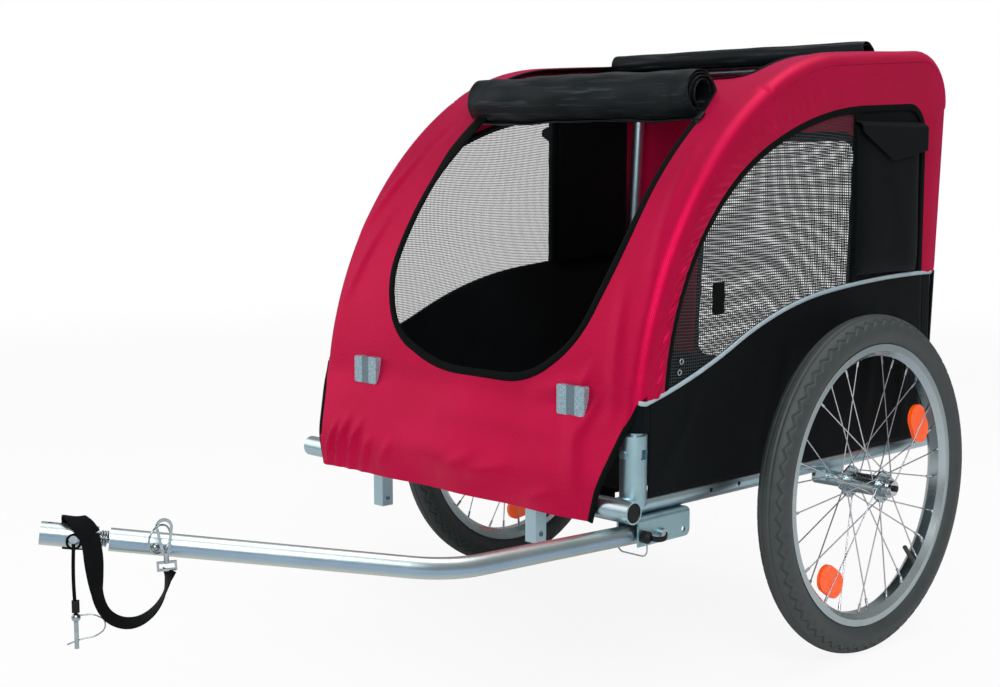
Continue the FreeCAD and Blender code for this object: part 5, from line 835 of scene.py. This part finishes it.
lanyard = {"top": (92.557, -1129.993, 306.885), "foot": 228.885, "thick": 4.0, "sway": 1.4, "loop": (8.0, 7.4)}
top = np.array(lanyard["top"])
z = np.linspace(top[2], lanyard["foot"], 50)
drop = (top[2] - z) / (top[2] - lanyard["foot"])
hang = top * [1, 1, 0] + z[:, None] * [0, 0, 1] + lanyard["sway"] * np.sin(np.pi * drop)[:, None] * ahead
cord = sweepPiece("lanyard_cord", hang, outboard, roundSection(lanyard["thick"], lanyard["thick"], 12), webbing,
                  body="hitch", slot="cord", stands=["pin_lanyard"])
t = np.linspace(0, 2 * np.pi, 48, endpoint=False)[:, None]
ring = top + upward * 2 + lanyard["loop"][0] * np.cos(t) * upward + lanyard["loop"][1] * np.sin(t) * ahead
loop = sweepPiece("lanyard_loop", ring, outboard, roundSection(2.8, 2.8, 10), webbing, closed=True, body="hitch",
                  slot="cord")
slide = points(*top[:2], lanyard["foot"] + np.linspace(1, 14, 12))
slider = sweepPiece("lanyard_slider", slide, outboard, roundSection(7.5, 8.5, 16, 4), blackPlastic, body="hitch")
print("strap and lanyard ready")

# small sewn and pressed details, where the photograph shows them
details = {"tab": (319.6, -291.0, 538.0), "eyelets": [(322.4, -371.0, 460.0), (322.4, -375.0, 446.0)],
           "zip": {"a": 250.0, "z": 784.0}}
tab = np.array(details["tab"]) + np.linspace(-21, 21, 16)[:, None] * [0, 0, 1]
sweepPiece("window_tab", tab, [1, 0, 0], roundSection(3, 24, 16, 5), bindingTape)
for number, spot in enumerate(details["eyelets"]):
    ring = np.array(spot) + 3.4 * np.concatenate([0 * t, np.cos(t), np.sin(t)], 1)
    sweepPiece(f"eyelet_{number}", ring, [1, 0, 0], roundSection(1.6, 2.2, 8), brightSteel, closed=True)
s = heightAt(details["zip"]["z"]) - np.linspace(0, 15, 10)
zipLine = onCover(front, points(details["zip"]["a"], s), 4.2)
sweepPiece("zip_slider", zipLine, [0, -1, 0.6], roundSection(4.4, 9, 14, 4), blackPlastic)
pull = zipLine[-1] + np.linspace(0, 1, 12)[:, None] * np.array([4.0, -9.0, -24.0])
sweepPiece("zip_pull", pull, [0, -1, 0.3], roundSection(1.8, 7, 14, 4), blackPlastic)
y, z = np.meshgrid(np.linspace(window["netRear"]["right"], 232, 30), np.linspace(0, 1, 40))
z = pipeHeight(y) * (1 - z) + (np.interp(y, cover["y"][roofHalf], cover["z"][roofHalf]) - 52) * z
for side, sign in edges.items():  # black lining inside, behind each pocket
    grid = points(sign * (hoop["x"] - 2.0), y, z)
    lining = gridPiece(f"pocket_lining_{side}", grid, liningCloth, grid[..., 1:], flip=sign < 0, thick=1.2)
hemStrip = {"half": 283.0, "levels": (296.0, 270.0), "y": -457.2}
x, z = np.meshgrid(np.linspace(-1, 1, 60) * hemStrip["half"], np.linspace(*hemStrip["levels"], 8))
grid = points(x, hemStrip["y"] + 0.8 * np.sin(x / 40), z)
hem = gridPiece("floor_hem", grid, liningCloth, points(x, z), flip=True, thick=1.0)
keeper = {"route": [(334.5, -412, 238), (340, -418, 236), (342, -430, 235), (341, -442, 237), (339.5, -447, 239)],
          "width": 7.0, "thick": 2.6}
rubber = sweepPiece("pin_keeper", splinePath(keeper["route"], 40), [0, 0, 1],
                    roundSection(keeper["width"], keeper["thick"], 14, 3), blackPlastic, body=None)
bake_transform(rubber)
print("details ready")

# studio: pale floor that keeps its shadow near the trailer and turns white far off, white surround, three soft lamps
stage = {"floor": 60.0, "sky": 0.3, "near": 2.4, "far": 6.0, "nearGlow": 0.9, "aim": (0, -0.2, 0.4),
         "lamps": [("key", (3.0, -2.9, 3.1), 124, 2.4), ("fill", (-3.2, -2.4, 2.0), 38, 3.0),
                   ("top", (0.4, 0.6, 4.0), 72, 3.0)]}


def seenShare(tree):
    # one for rays that show the surface in the picture, straight or through a net, and none for rays that light it
    rays = [addNode(tree, "LightPath", out=f"Is {kind} Ray") for kind in ("Camera", "Transmission")]
    return addNode(tree, "Math", {"operation": "MAXIMUM"}, dict(enumerate(rays)))


mesh = bpy.data.meshes.new("floor")
corners = np.array([(-1, -1, 0), (1, -1, 0), (1, 1, 0), (-1, 1, 0)]) * stage["floor"]
mesh.from_pydata(corners.tolist(), [], [(0, 1, 2, 3)])
floorMaterial, tree, shader = newMaterial("studio_floor", {"Base Color": linear("#F0F0F0"), "Roughness": 0.95,
                                                           "Specular IOR Level": 0.1})
place = addNode(tree, "TexCoord", out="Object")
away = addNode(tree, "VectorMath", {"operation": "LENGTH"}, {0: place}, out="Value")
whiter = addNode(tree, "MapRange", {"interpolation_type": "SMOOTHSTEP", "From Min": stage["near"],
                                    "From Max": stage["far"], "To Min": stage["nearGlow"], "To Max": 1.0},
                 {"Value": away})
share = addNode(tree, "Math", {"operation": "MULTIPLY"}, {0: seenShare(tree), 1: whiter})
glow = addNode(tree, "Emission", {"Color": (1, 1, 1, 1), "Strength": 1.0})
addNode(tree, "MixShader", None, {0: share, 1: shader.outputs[0], 2: glow},
        tree.nodes["Material Output"].inputs[0])
mesh.materials.append(floorMaterial)
addObject("floor", mesh)
world = bpy.data.worlds.new("studio")
bpy.context.scene.world = world
world.use_nodes = True
tree = world.node_tree
sky = tree.nodes["Background"]
sky.inputs["Color"].default_value = (1, 1, 1, 1)
sky.inputs["Strength"].default_value = stage["sky"]
plain = addNode(tree, "Background", {"Color": (1, 1, 1, 1), "Strength": 1.0})
addNode(tree, "MixShader", None, {0: seenShare(tree), 1: sky.outputs[0], 2: plain},
        tree.nodes["World Output"].inputs[0])
for name, at, power, width in stage["lamps"]:
    lamp = bpy.data.lights.new(name, "AREA")
    lamp.energy, lamp.size = power, width
    addAimed(name, lamp, at, Vector(stage["aim"]) - Vector(at))
bpy.context.scene.view_settings.view_transform = "Standard"
print("studio ready")
